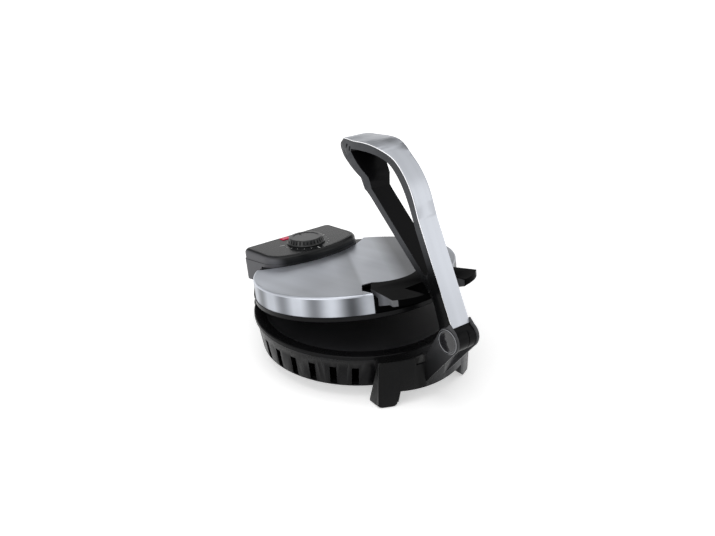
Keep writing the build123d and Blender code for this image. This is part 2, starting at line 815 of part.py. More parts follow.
arm_solid = extrude(arm_plan(), 160, both=True)
heel_top = arm_low + 5.1   # ends of the inner arm that lap under the frame
tongue_top = arm_low + 10.3
skin = skin_band(0, cover_sheet)
skin_room = skin_band(-1.5, cover_sheet + 0.03)
arm_seam = Polygon(
    (50, 4),
    (222, 4),
    (222, tongue_top),
    (213.2, tongue_top),
    (212, arm_high + 13),
    (step_x, arm_high + 13),
    (150, arm_high + 2),
    (68.5, arm_high + 2),
    (66.5, arm_high),
    (66.5, heel_top),
    (50, heel_top),
    align=None,
)
inner_zone = (lever_profile() - hand_hold()) & arm_seam
lever_screw_spots = ((57.5, 0.0), (217.5, 0.0))
lever_screw_seats = (arm_low + 1.1, arm_low + 5.5)
lever_all = across(lever_profile() - hand_hold())
arm_piece = across(inner_zone)
cover_piece = across(skin)
room_piece = extrude(lever_side() * skin_room, 40, both=True)
arm_room = extrude(lever_side() * offset(inner_zone, seat_gap), 40, both=True)
with BuildPart() as lever_frame:
    add(lever_all)
    add(arm_room, mode=Mode.SUBTRACT)
    add(room_piece, mode=Mode.SUBTRACT)
    # hub: trimmed to its width, bored for the axle, grooved near the middle
    for way in (1, -1):
        with BuildSketch(lever_side(way * hub_half)):
            Circle(ear_r + 0.6)
        extrude(amount=way * 20, mode=Mode.SUBTRACT)
    with BuildSketch(lever_side(2.0)):
        Circle(hub_r + 1)
        Circle(hub_r - 0.6, mode=Mode.SUBTRACT)
        Rectangle(40, 40, align=(Align.MIN, Align.CENTER), mode=Mode.SUBTRACT)
    extrude(amount=0.9, mode=Mode.SUBTRACT)
    with BuildSketch(lever_side()):
        Circle(axle_r + run_gap)
    extrude(amount=30, both=True, mode=Mode.SUBTRACT)
    with BuildSketch(lever_plan(arm_low)):
        with Locations(*lever_screw_spots):
            Circle(screw_r + run_gap)
    extrude(amount=16, mode=Mode.SUBTRACT)
finish("lever_frame", lever_frame.part)

with BuildPart() as lever_inner_arm:
    add(arm_piece)
    # channel in its underside, with cross ribs
    with BuildSketch(lever_plan(0)):
        for start, stop in ((78.0, 104.0), (106.0, 132.0), (134.0, 168.0)):
            with Locations(((start + stop) / 2, 0)):
                RectangleRounded(stop - start, 2 * lever_half - 2 * shell, 1.0)
    extrude(amount=arm_low + 4.4, mode=Mode.SUBTRACT)
    with BuildSketch(lever_plan(0)):
        with Locations(*lever_screw_spots):
            Circle(screw_r + 0.2)
    extrude(amount=40, mode=Mode.SUBTRACT)
finish("lever_inner_arm", lever_inner_arm.part)
finish("lever_cover", cover_piece)

with BuildPart() as lever_screws:
    for spot, low in zip(lever_screw_spots, lever_screw_seats):
        with BuildSketch(lever_plan(low - screw_head * 0.6)):
            with Locations(spot):
                Circle(screw_head_r)
        extrude(amount=screw_head * 0.6 - 0.02)
        with BuildSketch(lever_plan(low - screw_head * 0.6)):
            with Locations(spot):
                Circle(screw_r)
        extrude(amount=screw_head * 0.6 + 8.0)
finish("lever_screws", lever_screws.part)

# ---------------------------------------------------------------- lid cover
rear_arc_y = box_front_y + box_front_r
lid_up = Axis(hinge_plane.origin, hinge_plane.z_dir)


def behind_arc(gap=0.0):
    """Plan of everything behind the control box's curved front."""
    with BuildSketch(mode=Mode.PRIVATE) as plan:
        with Locations((0, rear_arc_y)):
            Circle(box_front_r + gap)
    return plan.sketch


def front_cutout():
    """Plan of the opening in the stainless cover where the handle sits."""
    with BuildSketch(mode=Mode.PRIVATE) as plan:
        with BuildLine():
            Polyline(
                (-notch_half, notch_y),
                (-notch_side, notch_side_y),
                polar(lid_r, -front_cut),
                polar(lid_r + 60, -front_cut),
            )
            Line(polar(lid_r + 60, -front_cut), polar(lid_r + 60, front_cut))
            Polyline(
                polar(lid_r + 60, front_cut),
                polar(lid_r, front_cut),
                (notch_side, notch_side_y),
                (notch_half, notch_y),
            )
            Line((notch_half, notch_y), (tongue_half, tongue_side_y))
            ThreePointArc((tongue_half, tongue_side_y), (0, tongue_y), (-tongue_half, tongue_side_y))
            Line((-tongue_half, tongue_side_y), (-notch_half, notch_y))
        make_face()
    return plan.sketch


with BuildPart() as lid_cover:
    with BuildSketch(lid_level(trim_high_z)):
        Circle(lid_r)
    extrude(amount=lid_top_z - trim_high_z)
    fillet(lid_cover.edges().sort_by(lid_up)[-1], lid_edge)
    offset(amount=-lid_sheet, openings=lid_cover.faces().sort_by(lid_up)[0])
    extrude(lid_level(0) * behind_arc(seat_gap), 120, mode=Mode.SUBTRACT)
    extrude(lid_level(0) * front_cutout(), 120, mode=Mode.SUBTRACT)
finish("lid_cover", lid_cover.part)

# ---------------------------------------------------------------- lid housing
plate_back_z = upper_face_z + plate_thick
inside_r = lid_r - lid_sheet - 0.2
housing_top_z = lid_top_z - lid_sheet - 0.2
root_z = handle_top_z - handle_well
lid_outline = (
    (seat_r, trim_low_z),
    (trim_r - 0.8, trim_low_z),
    (trim_r, trim_low_z + 0.8),
    (trim_r, trim_high_z - 0.2),
    (inside_r, trim_high_z - 0.2),
    (inside_r, housing_top_z - 2),
    (inside_r - 2, housing_top_z),
    (0, housing_top_z),
    (0, housing_top_z - 2),
    (inside_r - shell, housing_top_z - 2),
    (inside_r - shell, plate_back_z + shell),
    (ledge_r, plate_back_z + shell),
    (ledge_r, plate_back_z),
    (seat_r, plate_back_z),
)
shoulder = ((93.0, lid_r - 46.0), (box_half, lid_r), (44.0, lid_r - 9.0), (66.0, lid_r - 28.0))
with BuildPart() as lid_housing:
    add(turned(lid_outline, lid_turn))
    with BuildSketch(lid_level(plate_back_z)):
        with Locations(*lid_screw_spots):
            Circle(post_r)
    extrude(amount=housing_top_z - plate_back_z)
    # shoulders that run from the trim ring to the control box
    for way in (1, -1):
        with BuildSketch(lid_level(trim_low_z + 0.6)):
            Polygon(*[(way * x, y) for x, y in shoulder], align=None)
            Circle(seat_r + shell, mode=Mode.SUBTRACT)
        extrude(amount=box_low_z - 0.2 - trim_low_z - 0.6)
    # knuckle with its web
    with BuildSketch(lid_side(-knuckle_half)):
        with BuildLine():
            Polyline(
                (hinge_y - knuckle_r, hinge_z),
                (hinge_y - knuckle_r, trim_low_z + 1.0),
                (inside_r - 1.0, trim_low_z + 2.0),
                (inside_r - 1.0, box_low_z - 0.2),
                (hinge_y + knuckle_r, box_low_z - 0.2),
                (hinge_y + knuckle_r, hinge_z),
                (hinge_y - knuckle_r, hinge_z),
            )
        make_face()
        with Locations((hinge_y, hinge_z)):
            Circle(knuckle_r)
    extrude(amount=2 * knuckle_half)
    with Locations(Plane(origin=hinge_plane.origin, z_dir=(1, 0, 0))):
        Cylinder(pin_r + 1.5 + run_gap, 200, mode=Mode.SUBTRACT)
    # seat of the handle's root
    extrude(lid_level(root_z) * front_cutout(), 40, mode=Mode.SUBTRACT)
    with Locations(lid_level(upper_face_z - 4)):
        Cylinder(seat_r, plate_thick + 4, align=(Align.CENTER, Align.CENTER, Align.MIN), mode=Mode.SUBTRACT)
    # lid screws from above, their heads sunk under the stainless cover
    for spot in lid_screw_spots:
        with Locations(lid_level(plate_back_z)):
            with Locations(spot):
                Cylinder(screw_r + 0.2, 60, mode=Mode.SUBTRACT)
        with Locations(lid_level(housing_top_z)):
            with Locations(spot):
                Cylinder(screw_head_r + 0.3, 4.4, mode=Mode.SUBTRACT)
finish("lid_housing", lid_housing.part)
top_down = lid_level(housing_top_z - 2.2)
top_down = Plane(origin=top_down.origin, x_dir=(-1, 0, 0), z_dir=-top_down.z_dir)
screws(top_down, [(-x, y) for x, y in lid_screw_spots], housing_top_z - 2.2 - plate_back_z + 3.6, "lid_screws")

# ---------------------------------------------------------------- front handle
def shelf_plan():
    """Plan of the handle's top: two wings and a gate for the lever."""
    right = (
        (handle_gate_half, handle_gate_y),
        (handle_gate_half, handle_front_y),
        (44, handle_front_y + 5.4),
        (handle_tip_half, handle_tip_y),
        (notch_half + 3.0, notch_side_y - 3.4),
        (tongue_half, tongue_side_y - 0.4),
    )
    left = [(-x, y) for x, y in right]
    with BuildSketch(mode=Mode.PRIVATE) as plan:
        with BuildLine():
            Line(left[0], right[0])
            Line(right[0], right[1])
            ThreePointArc(right[1], right[2], right[3])
            Polyline(right[3], right[4], right[5])
            ThreePointArc(right[5], (0, tongue_y - 0.5), left[5])
            Polyline(left[5], left[4], left[3])
            ThreePointArc(left[3], left[2], left[1])
            Line(left[1], left[0])
        make_face()
    return plan.sketch


handle_deep = 14.0         # depth of the wings at their roots
inside_disc = Circle(inside_r + 0.3)
root_floor = extrude(lid_level(root_z) * (offset(front_cutout(), -0.3) & Circle(inside_r + 0.6)), shell / 2)
root_block = extrude(lid_level(root_z + 0.6) * shelf_plan(), handle_well - 0.6)
wing_block = extrude(lid_level(handle_top_z) * (shelf_plan() - inside_disc), -handle_deep)
front_wall = extrude(
    lid_level(trim_high_z) * ring_sector(inside_r + 0.3, lid_r, front_cut - 0.3), root_z - trim_high_z + 1
)
with BuildPart() as lid_handle:
    add(wing_block)
    # the underside rises towards the wing tips
    for way in (1, -1):
        under = Plane(
            origin=lid_level(handle_top_z - handle_deep).from_local_coords((way * 59, 17 - lid_r, 0)),
            x_dir=hinge_plane.x_dir,
            z_dir=hinge_plane.z_dir,
        )
        under = under.rotated((-degrees(atan2(0.27, 1)), -way * degrees(atan2(0.2, 1)), 0))
        with BuildSketch(under):
            Rectangle(140, 160)
        extrude(amount=-60, mode=Mode.SUBTRACT)
    add(root_block)
    add(root_floor)
    add(front_wall)
finish("lid_handle", lid_handle.part)


# ---------------------------------------------------------------- control box
def box_plan(inset):
    """Plan of the control box, drawn inwards by the inset."""
    corner_y = rear_arc_y - (box_front_r**2 - box_half**2) ** 0.5
    with BuildSketch(mode=Mode.PRIVATE) as plan:
        with BuildLine():
            Polyline((-box_half, corner_y), (-box_half, box_rear_y), (box_half, box_rear_y), (box_half, corner_y))
            ThreePointArc((box_half, corner_y), (0, box_front_y), (-box_half, corner_y))
        make_face()
        fillet(plan.vertices().group_by(Axis.Y)[-1], box_rear_round)
        fillet(plan.vertices().group_by(Axis.Y)[0], box_front_round)
    if inset > 0:
        return offset(plan.sketch, -inset)
    return plan.sketch


panel_up = Axis(control_plane.origin, control_plane.z_dir)
box_step = 0.8             # shallow step below the upper edge
panel_inset = box_step + box_round + 0.3
box_room = box_plan(shell)
deck_z = housing_top_z + seat_gap
step_low_z = box_rear_z - 12.0
step_ring = box_plan(0) - box_plan(box_step)
panel_hole = Pos(0, -knob_y) * box_plan(panel_inset)
panel_ledge = Pos(0, -knob_y) * box_plan(panel_inset + 1.6)
panel_face = Pos(0, -knob_y) * box_plan(panel_inset + seat_gap)
rear_room = box_plan(shell) - Circle(inside_r + seat_gap + shell)
room_low = extrude(lid_level(deck_z + shell) * box_room, 60)
room_roof = extrude(control_plane.offset(-box_round - 1.6) * Rectangle(300, 300), 60)
with BuildPart() as control_housing:
    extrude(lid_level(box_low_z) * box_plan(0), box_rear_z + 4 - box_low_z)
    # sloping top
    with BuildSketch(control_plane):
        Rectangle(300, 300)
    extrude(amount=60, mode=Mode.SUBTRACT)
    # shallow step round the upper part, then the rounded upper edge
    extrude(lid_level(step_low_z) * step_ring, 40, mode=Mode.SUBTRACT)
    fillet(control_housing.faces().sort_by(panel_up)[-1].edges(), box_round)
    # room inside, above the floor, and the panel's seat
    add(room_low - room_roof, mode=Mode.SUBTRACT)
    extrude(control_plane.offset(-box_round - 2) * panel_ledge, 60, mode=Mode.SUBTRACT)
    extrude(control_plane.offset(-panel_thick) * panel_hole, 60, mode=Mode.SUBTRACT)
    # the lid's round housing fits under the box
    with Locations(lid_level(box_low_z - 10)):
        Cylinder(
            inside_r + seat_gap,
            deck_z - box_low_z + 10,
            align=(Align.CENTER, Align.CENTER, Align.MIN),
            mode=Mode.SUBTRACT,
        )
    # hollow rear skirt
    extrude(lid_level(box_low_z) * rear_room, deck_z - box_low_z - 1, mode=Mode.SUBTRACT)
finish("control_housing", control_housing.part)

# ---------------------------------------------------------------- control panel
with BuildPart() as control_panel:
    extrude(control_plane.offset(-panel_thick) * panel_face, panel_thick)
    chamfer(control_panel.faces().sort_by(panel_up)[-1].edges(), 0.4)
    with Locations(control_plane):
        Cylinder(spindle_r + run_gap, 40, mode=Mode.SUBTRACT)
        with Locations((-lens_x, lens_y - knob_y), (lens_x, lens_y - knob_y)):
            Box(2 * lens_half + 0.3, 2 * lens_wide + 0.3, 20, mode=Mode.SUBTRACT)
finish("control_panel", control_panel.part)

for name, way in (("red_lens", -1), ("green_lens", 1)):
    with BuildPart() as lens:
        with BuildSketch(control_plane.offset(-panel_thick)):
            with Locations((way * lens_x, lens_y - knob_y)):
                RectangleRounded(2 * lens_half, 2 * lens_wide, 0.8)
        extrude(amount=panel_thick + 0.9)
        chamfer(lens.faces().sort_by(lid_up)[-1].edges(), 0.5)
    finish(name, lens.part)

with BuildPart() as indicator_lamps:
    with Locations(control_plane.offset(-panel_thick - 0.1)):
        with Locations((-lens_x, lens_y - knob_y), (lens_x, lens_y - knob_y)):
            Cylinder(2.2, 4.0, align=(Align.CENTER, Align.CENTER, Align.MAX))
finish("indicator_lamps", indicator_lamps.part)

with BuildPart() as thermostat_body:
    with BuildSketch(lid_level(deck_z + shell)):
        with Locations((0, knob_y)):
            RectangleRounded(34, 30, 3)
    extrude(amount=4.6)
    with Locations(control_plane):
        Cylinder(spindle_r + run_gap, 60, mode=Mode.SUBTRACT)
finish("thermostat_body", thermostat_body.part)

# ---------------------------------------------------------------- knob
knob_foot = 0.4
knob_brim = 1.2            # plain brim under the ribs
with BuildPart() as control_knob:
    with BuildSketch(control_plane.offset(knob_foot)):
        Circle(knob_skirt_r)
    extrude(amount=knob_brim)
    chamfer(control_knob.faces().sort_by(panel_up)[-1].edges(), 0.4)
    with Locations(control_plane.offset(knob_foot + knob_brim)):
        Cone(
            knob_skirt_r - 1.0,
            knob_r,
            knob_high - knob_foot - knob_brim,
            align=(Align.CENTER, Align.CENTER, Align.MIN),
        )
    fillet(control_knob.faces().sort_by(panel_up)[-1].edges(), 1.3)
    # flutes down the flared side
    with BuildSketch(control_plane.offset(knob_foot + knob_brim + 0.5)):
        with PolarLocations(knob_skirt_r - 0.6, knob_flutes):
            Rectangle(4.4, 2.1)
    extrude(amount=knob_high, mode=Mode.SUBTRACT)
    # shallow dish in the top with a pointer groove
    with BuildSketch(control_plane.offset(knob_high - 0.5)):
        Circle(knob_r - 4.0)
    extrude(amount=2, mode=Mode.SUBTRACT)
    with BuildSketch(control_plane.offset(knob_high - 1.0)):
        with Locations((0, knob_r - 8.6)):
            SlotOverall(7, 1.6, rotation=90)
    extrude(amount=2, mode=Mode.SUBTRACT)
    with BuildSketch(control_plane.offset(-1)):
        Circle(spindle_r + 0.02)
    extrude(amount=knob_high - 1.6, mode=Mode.SUBTRACT)
finish("control_knob", control_knob.part)

with BuildPart() as thermostat_spindle:
    with BuildSketch(control_plane.offset(knob_high - 2.8)):
        Circle(spindle_r)
    extrude(amount=-(knob_high - 2.8 + panel_thick + 4.0))
finish("thermostat_spindle", thermostat_spindle.part)

# ---------------------------------------------------------------- hinge
hinge_cross = Plane(origin=hinge_plane.origin, x_dir=(0, 1, 0), z_dir=(1, 0, 0))
pin_half = ear_inner + base_ear + 1.0
with BuildPart() as hinge_pin:
    with BuildSketch(hinge_cross.offset(-pin_half)):
        Circle(pin_r)
    extrude(amount=2 * pin_half)
    for start in (-pin_half - 1.2, pin_half - 0.5):
        with BuildSketch(hinge_cross.offset(start)):
            Circle(pin_r + 1.6)
        extrude(amount=1.7)
finish("hinge_pin", hinge_pin.part)

with BuildPart() as hinge_bushings:
    for start in (6.0, -22.0):
        with BuildSketch(hinge_cross.offset(start)):
            Circle(pin_r + 1.5)
            Circle(pin_r + 0.02, mode=Mode.SUBTRACT)
        extrude(amount=16)
finish("hinge_bushings", hinge_bushings.part)
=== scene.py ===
"""Finishes, fine pieces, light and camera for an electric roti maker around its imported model.

All lengths are metres. +Z is up, +Y runs from the press lever to the hinge, +X to the right.
"""

import json
import logging
import math
from dataclasses import dataclass
from enum import Enum
from typing import Callable, ClassVar, Iterable, Sequence

import bmesh
import bpy
from mathutils import Matrix, Vector


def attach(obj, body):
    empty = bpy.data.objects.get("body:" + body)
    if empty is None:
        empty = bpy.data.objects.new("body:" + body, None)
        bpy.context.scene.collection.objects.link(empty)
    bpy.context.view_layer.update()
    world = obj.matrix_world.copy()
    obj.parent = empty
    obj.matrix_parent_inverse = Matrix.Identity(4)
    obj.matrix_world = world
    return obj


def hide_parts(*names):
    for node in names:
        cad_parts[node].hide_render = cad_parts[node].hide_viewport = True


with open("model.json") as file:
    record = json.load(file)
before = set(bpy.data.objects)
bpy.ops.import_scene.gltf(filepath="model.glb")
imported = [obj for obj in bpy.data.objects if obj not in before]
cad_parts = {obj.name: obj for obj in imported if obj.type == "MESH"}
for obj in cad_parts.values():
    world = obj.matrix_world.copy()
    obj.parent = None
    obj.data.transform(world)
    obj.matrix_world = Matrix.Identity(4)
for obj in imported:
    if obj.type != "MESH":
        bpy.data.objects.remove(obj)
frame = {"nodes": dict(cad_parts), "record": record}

LOG = logging.getLogger("roti_maker")
MM = 0.001
PHOTO_WIDTH = 715.0
SENSOR_WIDTH = 36.0

# a mesh's corners are merged within MERGE, its flat faces joined within FLAT degrees, and its
# shading broken past SHARP degrees
MERGE = 0.001 * MM
FLAT = 0.4
SHARP = 24.0

# how far a face leans to the side, as the size of its normal's x: not at all, and more than any does
NO_LEAN = 0.0
PAST_ANY_LEAN = 1.1

# the lid's rest angle in degrees, and the middle of its sheet seen from the hinge once it is level
LID_REST = 10.0
LID_REACH = 125.8 * MM
LID_RISE = 28.2 * MM

# the middle of the lever's pivot
PIVOT = (0.0, -141.5 * MM, 80.8 * MM)

# depth of the fine bumps, middle of a noise's values, and the values between which a colour changes
BUMP_DEPTH = 0.1 * MM
NOISE_MIDDLE = 0.5
CLOUD_ENDS = (0.35, 0.65)

# places of a Mix node's colour sockets
MIX_FIRST, MIX_SECOND, MIX_RESULT = 6, 7, 2

Colour = tuple[float, float, float]
Point = tuple[float, float, float]
Socket = bpy.types.NodeSocket
Node = bpy.types.Node
NodeTree = bpy.types.NodeTree

WHITE: Colour = (1.0, 1.0, 1.0)
GROUPS: dict[str, NodeTree] = {}


class Grain(Enum):
    """Stretch of the scratches on a brushed sheet."""

    ALONG = (1.0, 0.012, 0.012)
    DEEP = (1.0, 0.012, 1.0)


# ------------------------------------------------------------------ shader helpers
class Nodes:
    """Short hand for building one node tree."""

    def __init__(self, tree: NodeTree) -> None:
        """Keeps the tree that the other methods add to."""
        self.tree = tree

    def add(self, kind: str, **values: object) -> Node:
        """Adds a node and sets its properties.

        Args:
            kind: Blender's identifier of the node.
            values: properties of the node to set.

        Returns:
            The new node.
        """
        node = self.tree.nodes.new(kind)
        for name, value in values.items():
            setattr(node, name, value)
        return node

    def feed(self, value: float | Sequence[float] | Socket, target: Socket) -> None:
        """Links a socket to an input, or sets the input's own value.

        Args:
            value: an output socket, a number, a vector or a colour.
            target: the input socket.
        """
        if isinstance(value, Socket):
            self.tree.links.new(value, target)
        elif target.type == "RGBA":
            target.default_value = (*value, 1.0)
        else:
            target.default_value = value

    def math(self, operation: str, first: float | Socket, second: float | Socket = 0.0) -> Socket:
        """Adds a Math node.

        Args:
            operation: the Math node's operation.
            first: a number or an output socket.
            second: a number or an output socket.

        Returns:
            The node's output socket.
        """
        node = self.add("ShaderNodeMath", operation=operation)
        self.feed(first, node.inputs[0])
        self.feed(second, node.inputs[1])
        return node.outputs[0]

    def line(self, value: Socket, factor: float, offset: float) -> Socket:
        """Multiplies a value by a factor and adds an offset."""
        return self.math("ADD", self.math("MULTIPLY", value, factor), offset)

    def ramp(self, value: Socket, stops: Sequence[tuple[float, Colour]]) -> Socket:
        """Adds a colour ramp.

        Args:
            value: the socket that drives the ramp.
            stops: positions and their colours, in order.

        Returns:
            The ramp's colour socket.
        """
        node = self.add("ShaderNodeValToRGB")
        elements = node.color_ramp.elements
        while len(elements) < len(stops):
            elements.new(0.5)
        for element, (place, colour) in zip(elements, stops):
            element.position = place
            element.color = (*colour, 1.0)
        self.feed(value, node.inputs[0])
        return node.outputs[0]

    def greys(self, value: Socket, stops: Sequence[tuple[float, float]]) -> Socket:
        """Adds a ramp of grey tones."""
        return self.ramp(value, [(place, (tone, tone, tone)) for place, tone in stops])

    def clouded(self, mask: Socket, colour: Colour, part: float) -> Socket:
        """Lets a colour change softly between a darker and a lighter tone.

        Args:
            mask: the socket that drives the change.
            colour: the middle colour.
            part: share of the colour that the tones lose and gain.

        Returns:
            The socket of the changing colour.
        """
        dark = tuple(channel * (1 - part) for channel in colour)
        light = tuple(min(1.0, channel * (1 + part)) for channel in colour)
        return self.ramp(mask, tuple(zip(CLOUD_ENDS, (dark, light))))

    def mix(
        self,
        first: Colour | Socket,
        second: Colour | Socket,
        factor: float | Socket = 1.0,
        blend: str = "MIX",
    ) -> Socket:
        """Mixes two colours.

        Args:
            first: a colour or its socket.
            second: a colour or its socket.
            factor: share of the second colour.
            blend: the Mix node's way of blending.

        Returns:
            The socket of the mixed colour.
        """
        node = self.add("ShaderNodeMix", data_type="RGBA", blend_type=blend)
        self.feed(factor, node.inputs["Factor"])
        self.feed(first, node.inputs[MIX_FIRST])
        self.feed(second, node.inputs[MIX_SECOND])
        return node.outputs[MIX_RESULT]

    def share(
        self,
        value: Socket,
        start: float | Socket,
        full: float | Socket,
        low: float | Socket = 0.0,
        high: float = 1.0,
        curve: str = "SMOOTHSTEP",
    ) -> Socket:
        """Adds a Map Range node.

        Args:
            value: the socket that is mapped.
            start: the value that gives the low end.
            full: the value that gives the high end.
            low: the low end.
            high: the high end.
            curve: the node's interpolation.

        Returns:
            The node's output socket.
        """
        node = self.add("ShaderNodeMapRange", interpolation_type=curve)
        inputs = {"Value": value, "From Min": start, "From Max": full, "To Min": low, "To Max": high}
        for title, given in inputs.items():
            self.feed(given, node.inputs[title])
        return node.outputs[0]

    def place(self) -> Socket:
        """Returns the socket of the Object coordinates."""
        return self.add("ShaderNodeTexCoord").outputs["Object"]

    def mapped(self, vector: Socket, **values: Sequence[float]) -> Socket:
        """Moves, turns or stretches coordinates.

        Args:
            vector: the coordinates.
            values: the Mapping node's Location, Rotation or Scale.

        Returns:
            The socket of the mapped coordinates.
        """
        node = self.add("ShaderNodeMapping")
        self.feed(vector, node.inputs["Vector"])
        for title, value in values.items():
            self.feed(value, node.inputs[title])
        return node.outputs[0]

    def noise(self, vector: Socket, scale: float | Socket, detail: float) -> Socket:
        """Adds a noise texture.

        Args:
            vector: the coordinates.
            scale: a number or an output socket.
            detail: its octaves.

        Returns:
            The socket of its grey value.
        """
        node = self.add("ShaderNodeTexNoise")
        self.feed(vector, node.inputs["Vector"])
        self.feed(scale, node.inputs["Scale"])
        self.feed(detail, node.inputs["Detail"])
        return node.outputs["Fac"]

    def roughened(self, given: Node, noise: Socket) -> Socket:
        """Lets a group's roughness change with a noise.

        Args:
            given: the group's input node, which has a Rough and a Spread.
            noise: the socket of the noise.

        Returns:
            The socket of the changing roughness.
        """
        change = self.math("MULTIPLY", self.math("SUBTRACT", noise, NOISE_MIDDLE), given.outputs["Spread"])
        return self.math("ADD", given.outputs["Rough"], change)

    def shared(self, build: Callable[[], NodeTree], **values: object) -> Node:
        """Places a shared node group with its own values.

        Args:
            build: the function that builds the group; it runs at its first use.
            values: values or sockets for the group's inputs.

        Returns:
            The group's node.
        """
        if build.__name__ not in GROUPS:
            GROUPS[build.__name__] = build()
        node = self.add("ShaderNodeGroup", node_tree=GROUPS[build.__name__])
        for title, value in values.items():
            self.feed(value, node.inputs[title])
        return node

    def surface(self, shader: Node, tint: Socket, skin: Node, bump: float) -> None:
        """Wires a colour and a shared group's roughness and height to a shader.

        Args:
            shader: the Principled BSDF.
            tint: the colour's socket.
            skin: the node of a group with a Roughness and a Height.
            bump: strength of the bump.
        """
        raised = self.add("ShaderNodeBump")
        self.feed(bump, raised.inputs["Strength"])
        self.feed(BUMP_DEPTH, raised.inputs["Distance"])
        self.feed(skin.outputs["Height"], raised.inputs["Height"])
        self.feed(tint, shader.inputs["Base Color"])
        self.feed(skin.outputs["Roughness"], shader.inputs["Roughness"])
        self.feed(raised.outputs[0], shader.inputs["Normal"])


def new_group(
    name: str, numbers: dict[str, float], vectors: Sequence[str], outputs: Sequence[str]
) -> tuple[NodeTree, Nodes, Node, Node]:
    """Makes an empty shader node group with named sockets.

    Args:
        name: name of the group.
        numbers: names and defaults of its number inputs.
        vectors: names of its vector inputs.
        outputs: names of its outputs, all numbers.

    Returns:
        The group, a helper for its tree, its input node and its output node.
    """
    tree = bpy.data.node_groups.new(name, "ShaderNodeTree")
    for title, value in numbers.items():
        socket = tree.interface.new_socket(name=title, in_out="INPUT", socket_type="NodeSocketFloat")
        socket.default_value = value
    for title in vectors:
        tree.interface.new_socket(name=title, in_out="INPUT", socket_type="NodeSocketVector")
    for title in outputs:
        tree.interface.new_socket(name=title, in_out="OUTPUT", socket_type="NodeSocketFloat")
    nodes = Nodes(tree)
    return tree, nodes, nodes.add("NodeGroupInput"), nodes.add("NodeGroupOutput")


def brushing_group() -> NodeTree:
    """Fine parallel scratches in the stretched coordinates it is given.

    Returns:
        A group with the scratches as a height, a roughness and a soft streak mask.
    """
    numbers = {"Fineness": 900.0, "Rough": 0.3, "Spread": 0.12}
    outputs = ["Height", "Roughness", "Streak"]
    tree, nodes, given, out = new_group("brushed lines", numbers, ["Vector"], outputs)
    vector = given.outputs["Vector"]
    fine = nodes.noise(vector, scale=given.outputs["Fineness"], detail=3.0)
    nodes.feed(fine, out.inputs["Height"])
    nodes.feed(nodes.roughened(given, fine), out.inputs["Roughness"])
    nodes.feed(nodes.noise(vector, scale=60.0, detail=2.0), out.inputs["Streak"])
    return tree


def skin_group() -> NodeTree:
    """Fine grain of a moulded, cast or drawn surface, with a faint cloudiness from handling.

    Returns:
        A group with a height for a bump, a roughness and a soft cloud mask.
    """
    numbers = {"Scale": 1400.0, "Rough": 0.4, "Spread": 0.1}
    tree, nodes, given, out = new_group("surface skin", numbers, [], ["Height", "Roughness", "Cloud"])
    place = nodes.place()
    cloud = nodes.noise(place, scale=22.0, detail=4.0)
    nodes.feed(nodes.noise(place, scale=given.outputs["Scale"], detail=2.0), out.inputs["Height"])
    nodes.feed(nodes.roughened(given, cloud), out.inputs["Roughness"])
    nodes.feed(cloud, out.inputs["Cloud"])
    return tree


def fade_group() -> NodeTree:
    """Fading towards a point of the model.

    Returns:
        A group with a share that grows from Low, nearer than Near, to 1, past Far.
    """
    numbers = {"Near": 50 * MM, "Far": 100 * MM, "Low": 0.1}
    tree, nodes, given, out = new_group("fade to a point", numbers, ["Centre"], ["Share"])
    away = nodes.add("ShaderNodeVectorMath", operation="DISTANCE")
    nodes.feed(nodes.place(), away.inputs[0])
    nodes.feed(given.outputs["Centre"], away.inputs[1])
    near, far, low = (given.outputs[title] for title in numbers)
    nodes.feed(nodes.share(away.outputs["Value"], near, far, low), out.inputs["Share"])
    return tree


def new_material(name: str) -> tuple[bpy.types.Material, Node, Nodes]:
    """Makes an empty node material.

    Args:
        name: name of the material.

    Returns:
        The material, its Principled BSDF and a helper for its tree.
    """
    made = bpy.data.materials.new(name)
    made.use_nodes = True
    shader = next(node for node in made.node_tree.nodes if node.type == "BSDF_PRINCIPLED")
    return made, shader, Nodes(made.node_tree)


# ------------------------------------------------------------------ finishes
@dataclass(frozen=True)
class Finish:
    """A finish of this object; each kind adds its own nodes."""

    name: str
    colour: Colour

    def material(self) -> bpy.types.Material:
        """Builds the material at its first use.

        Returns:
            The material.
        """
        made = bpy.data.materials.get(self.name)
        if not made:
            made, shader, nodes = new_material(self.name)
            self.fill(shader, nodes)
        return made

    def fill(self, shader: Node, nodes: Nodes) -> None:
        """Sets the shader's values and adds the finish's nodes.

        Args:
            shader: the material's Principled BSDF.
            nodes: helper for the material's tree.
        """
        raise NotImplementedError


@dataclass(frozen=True)
class Fade:
    """Darkening of a colour towards a point of the model."""

    centre: Point
    near: float
    far: float
    low: float

    def over(self, nodes: Nodes, tint: Socket) -> Socket:
        """Darkens a colour.

        Args:
            nodes: helper for the material's tree.
            tint: the colour's socket.

        Returns:
            The socket of the darkened colour.
        """
        fade = nodes.shared(fade_group, Centre=self.centre, Near=self.near, Far=self.far, Low=self.low)
        return nodes.mix(tint, fade.outputs["Share"], blend="MULTIPLY")


@dataclass(frozen=True)
class PaintedSideLight:
    """Painted light: a lighter tone on the faces that look sideways."""

    colour: Colour
    start: float = 0.35
    full: float = 0.95

    def over(self, nodes: Nodes, tint: Socket) -> Socket:
        """Blends a colour with the painted side light.

        Args:
            nodes: helper for the material's tree.
            tint: the colour's socket.

        Returns:
            The socket of the blended colour.
        """
        axes = nodes.add("ShaderNodeSeparateXYZ")
        nodes.feed(nodes.add("ShaderNodeTexCoord").outputs["Normal"], axes.inputs[0])
        sideways = nodes.math("ABSOLUTE", axes.outputs[0])
        return nodes.mix(tint, self.colour, nodes.share(sideways, self.start, self.full))


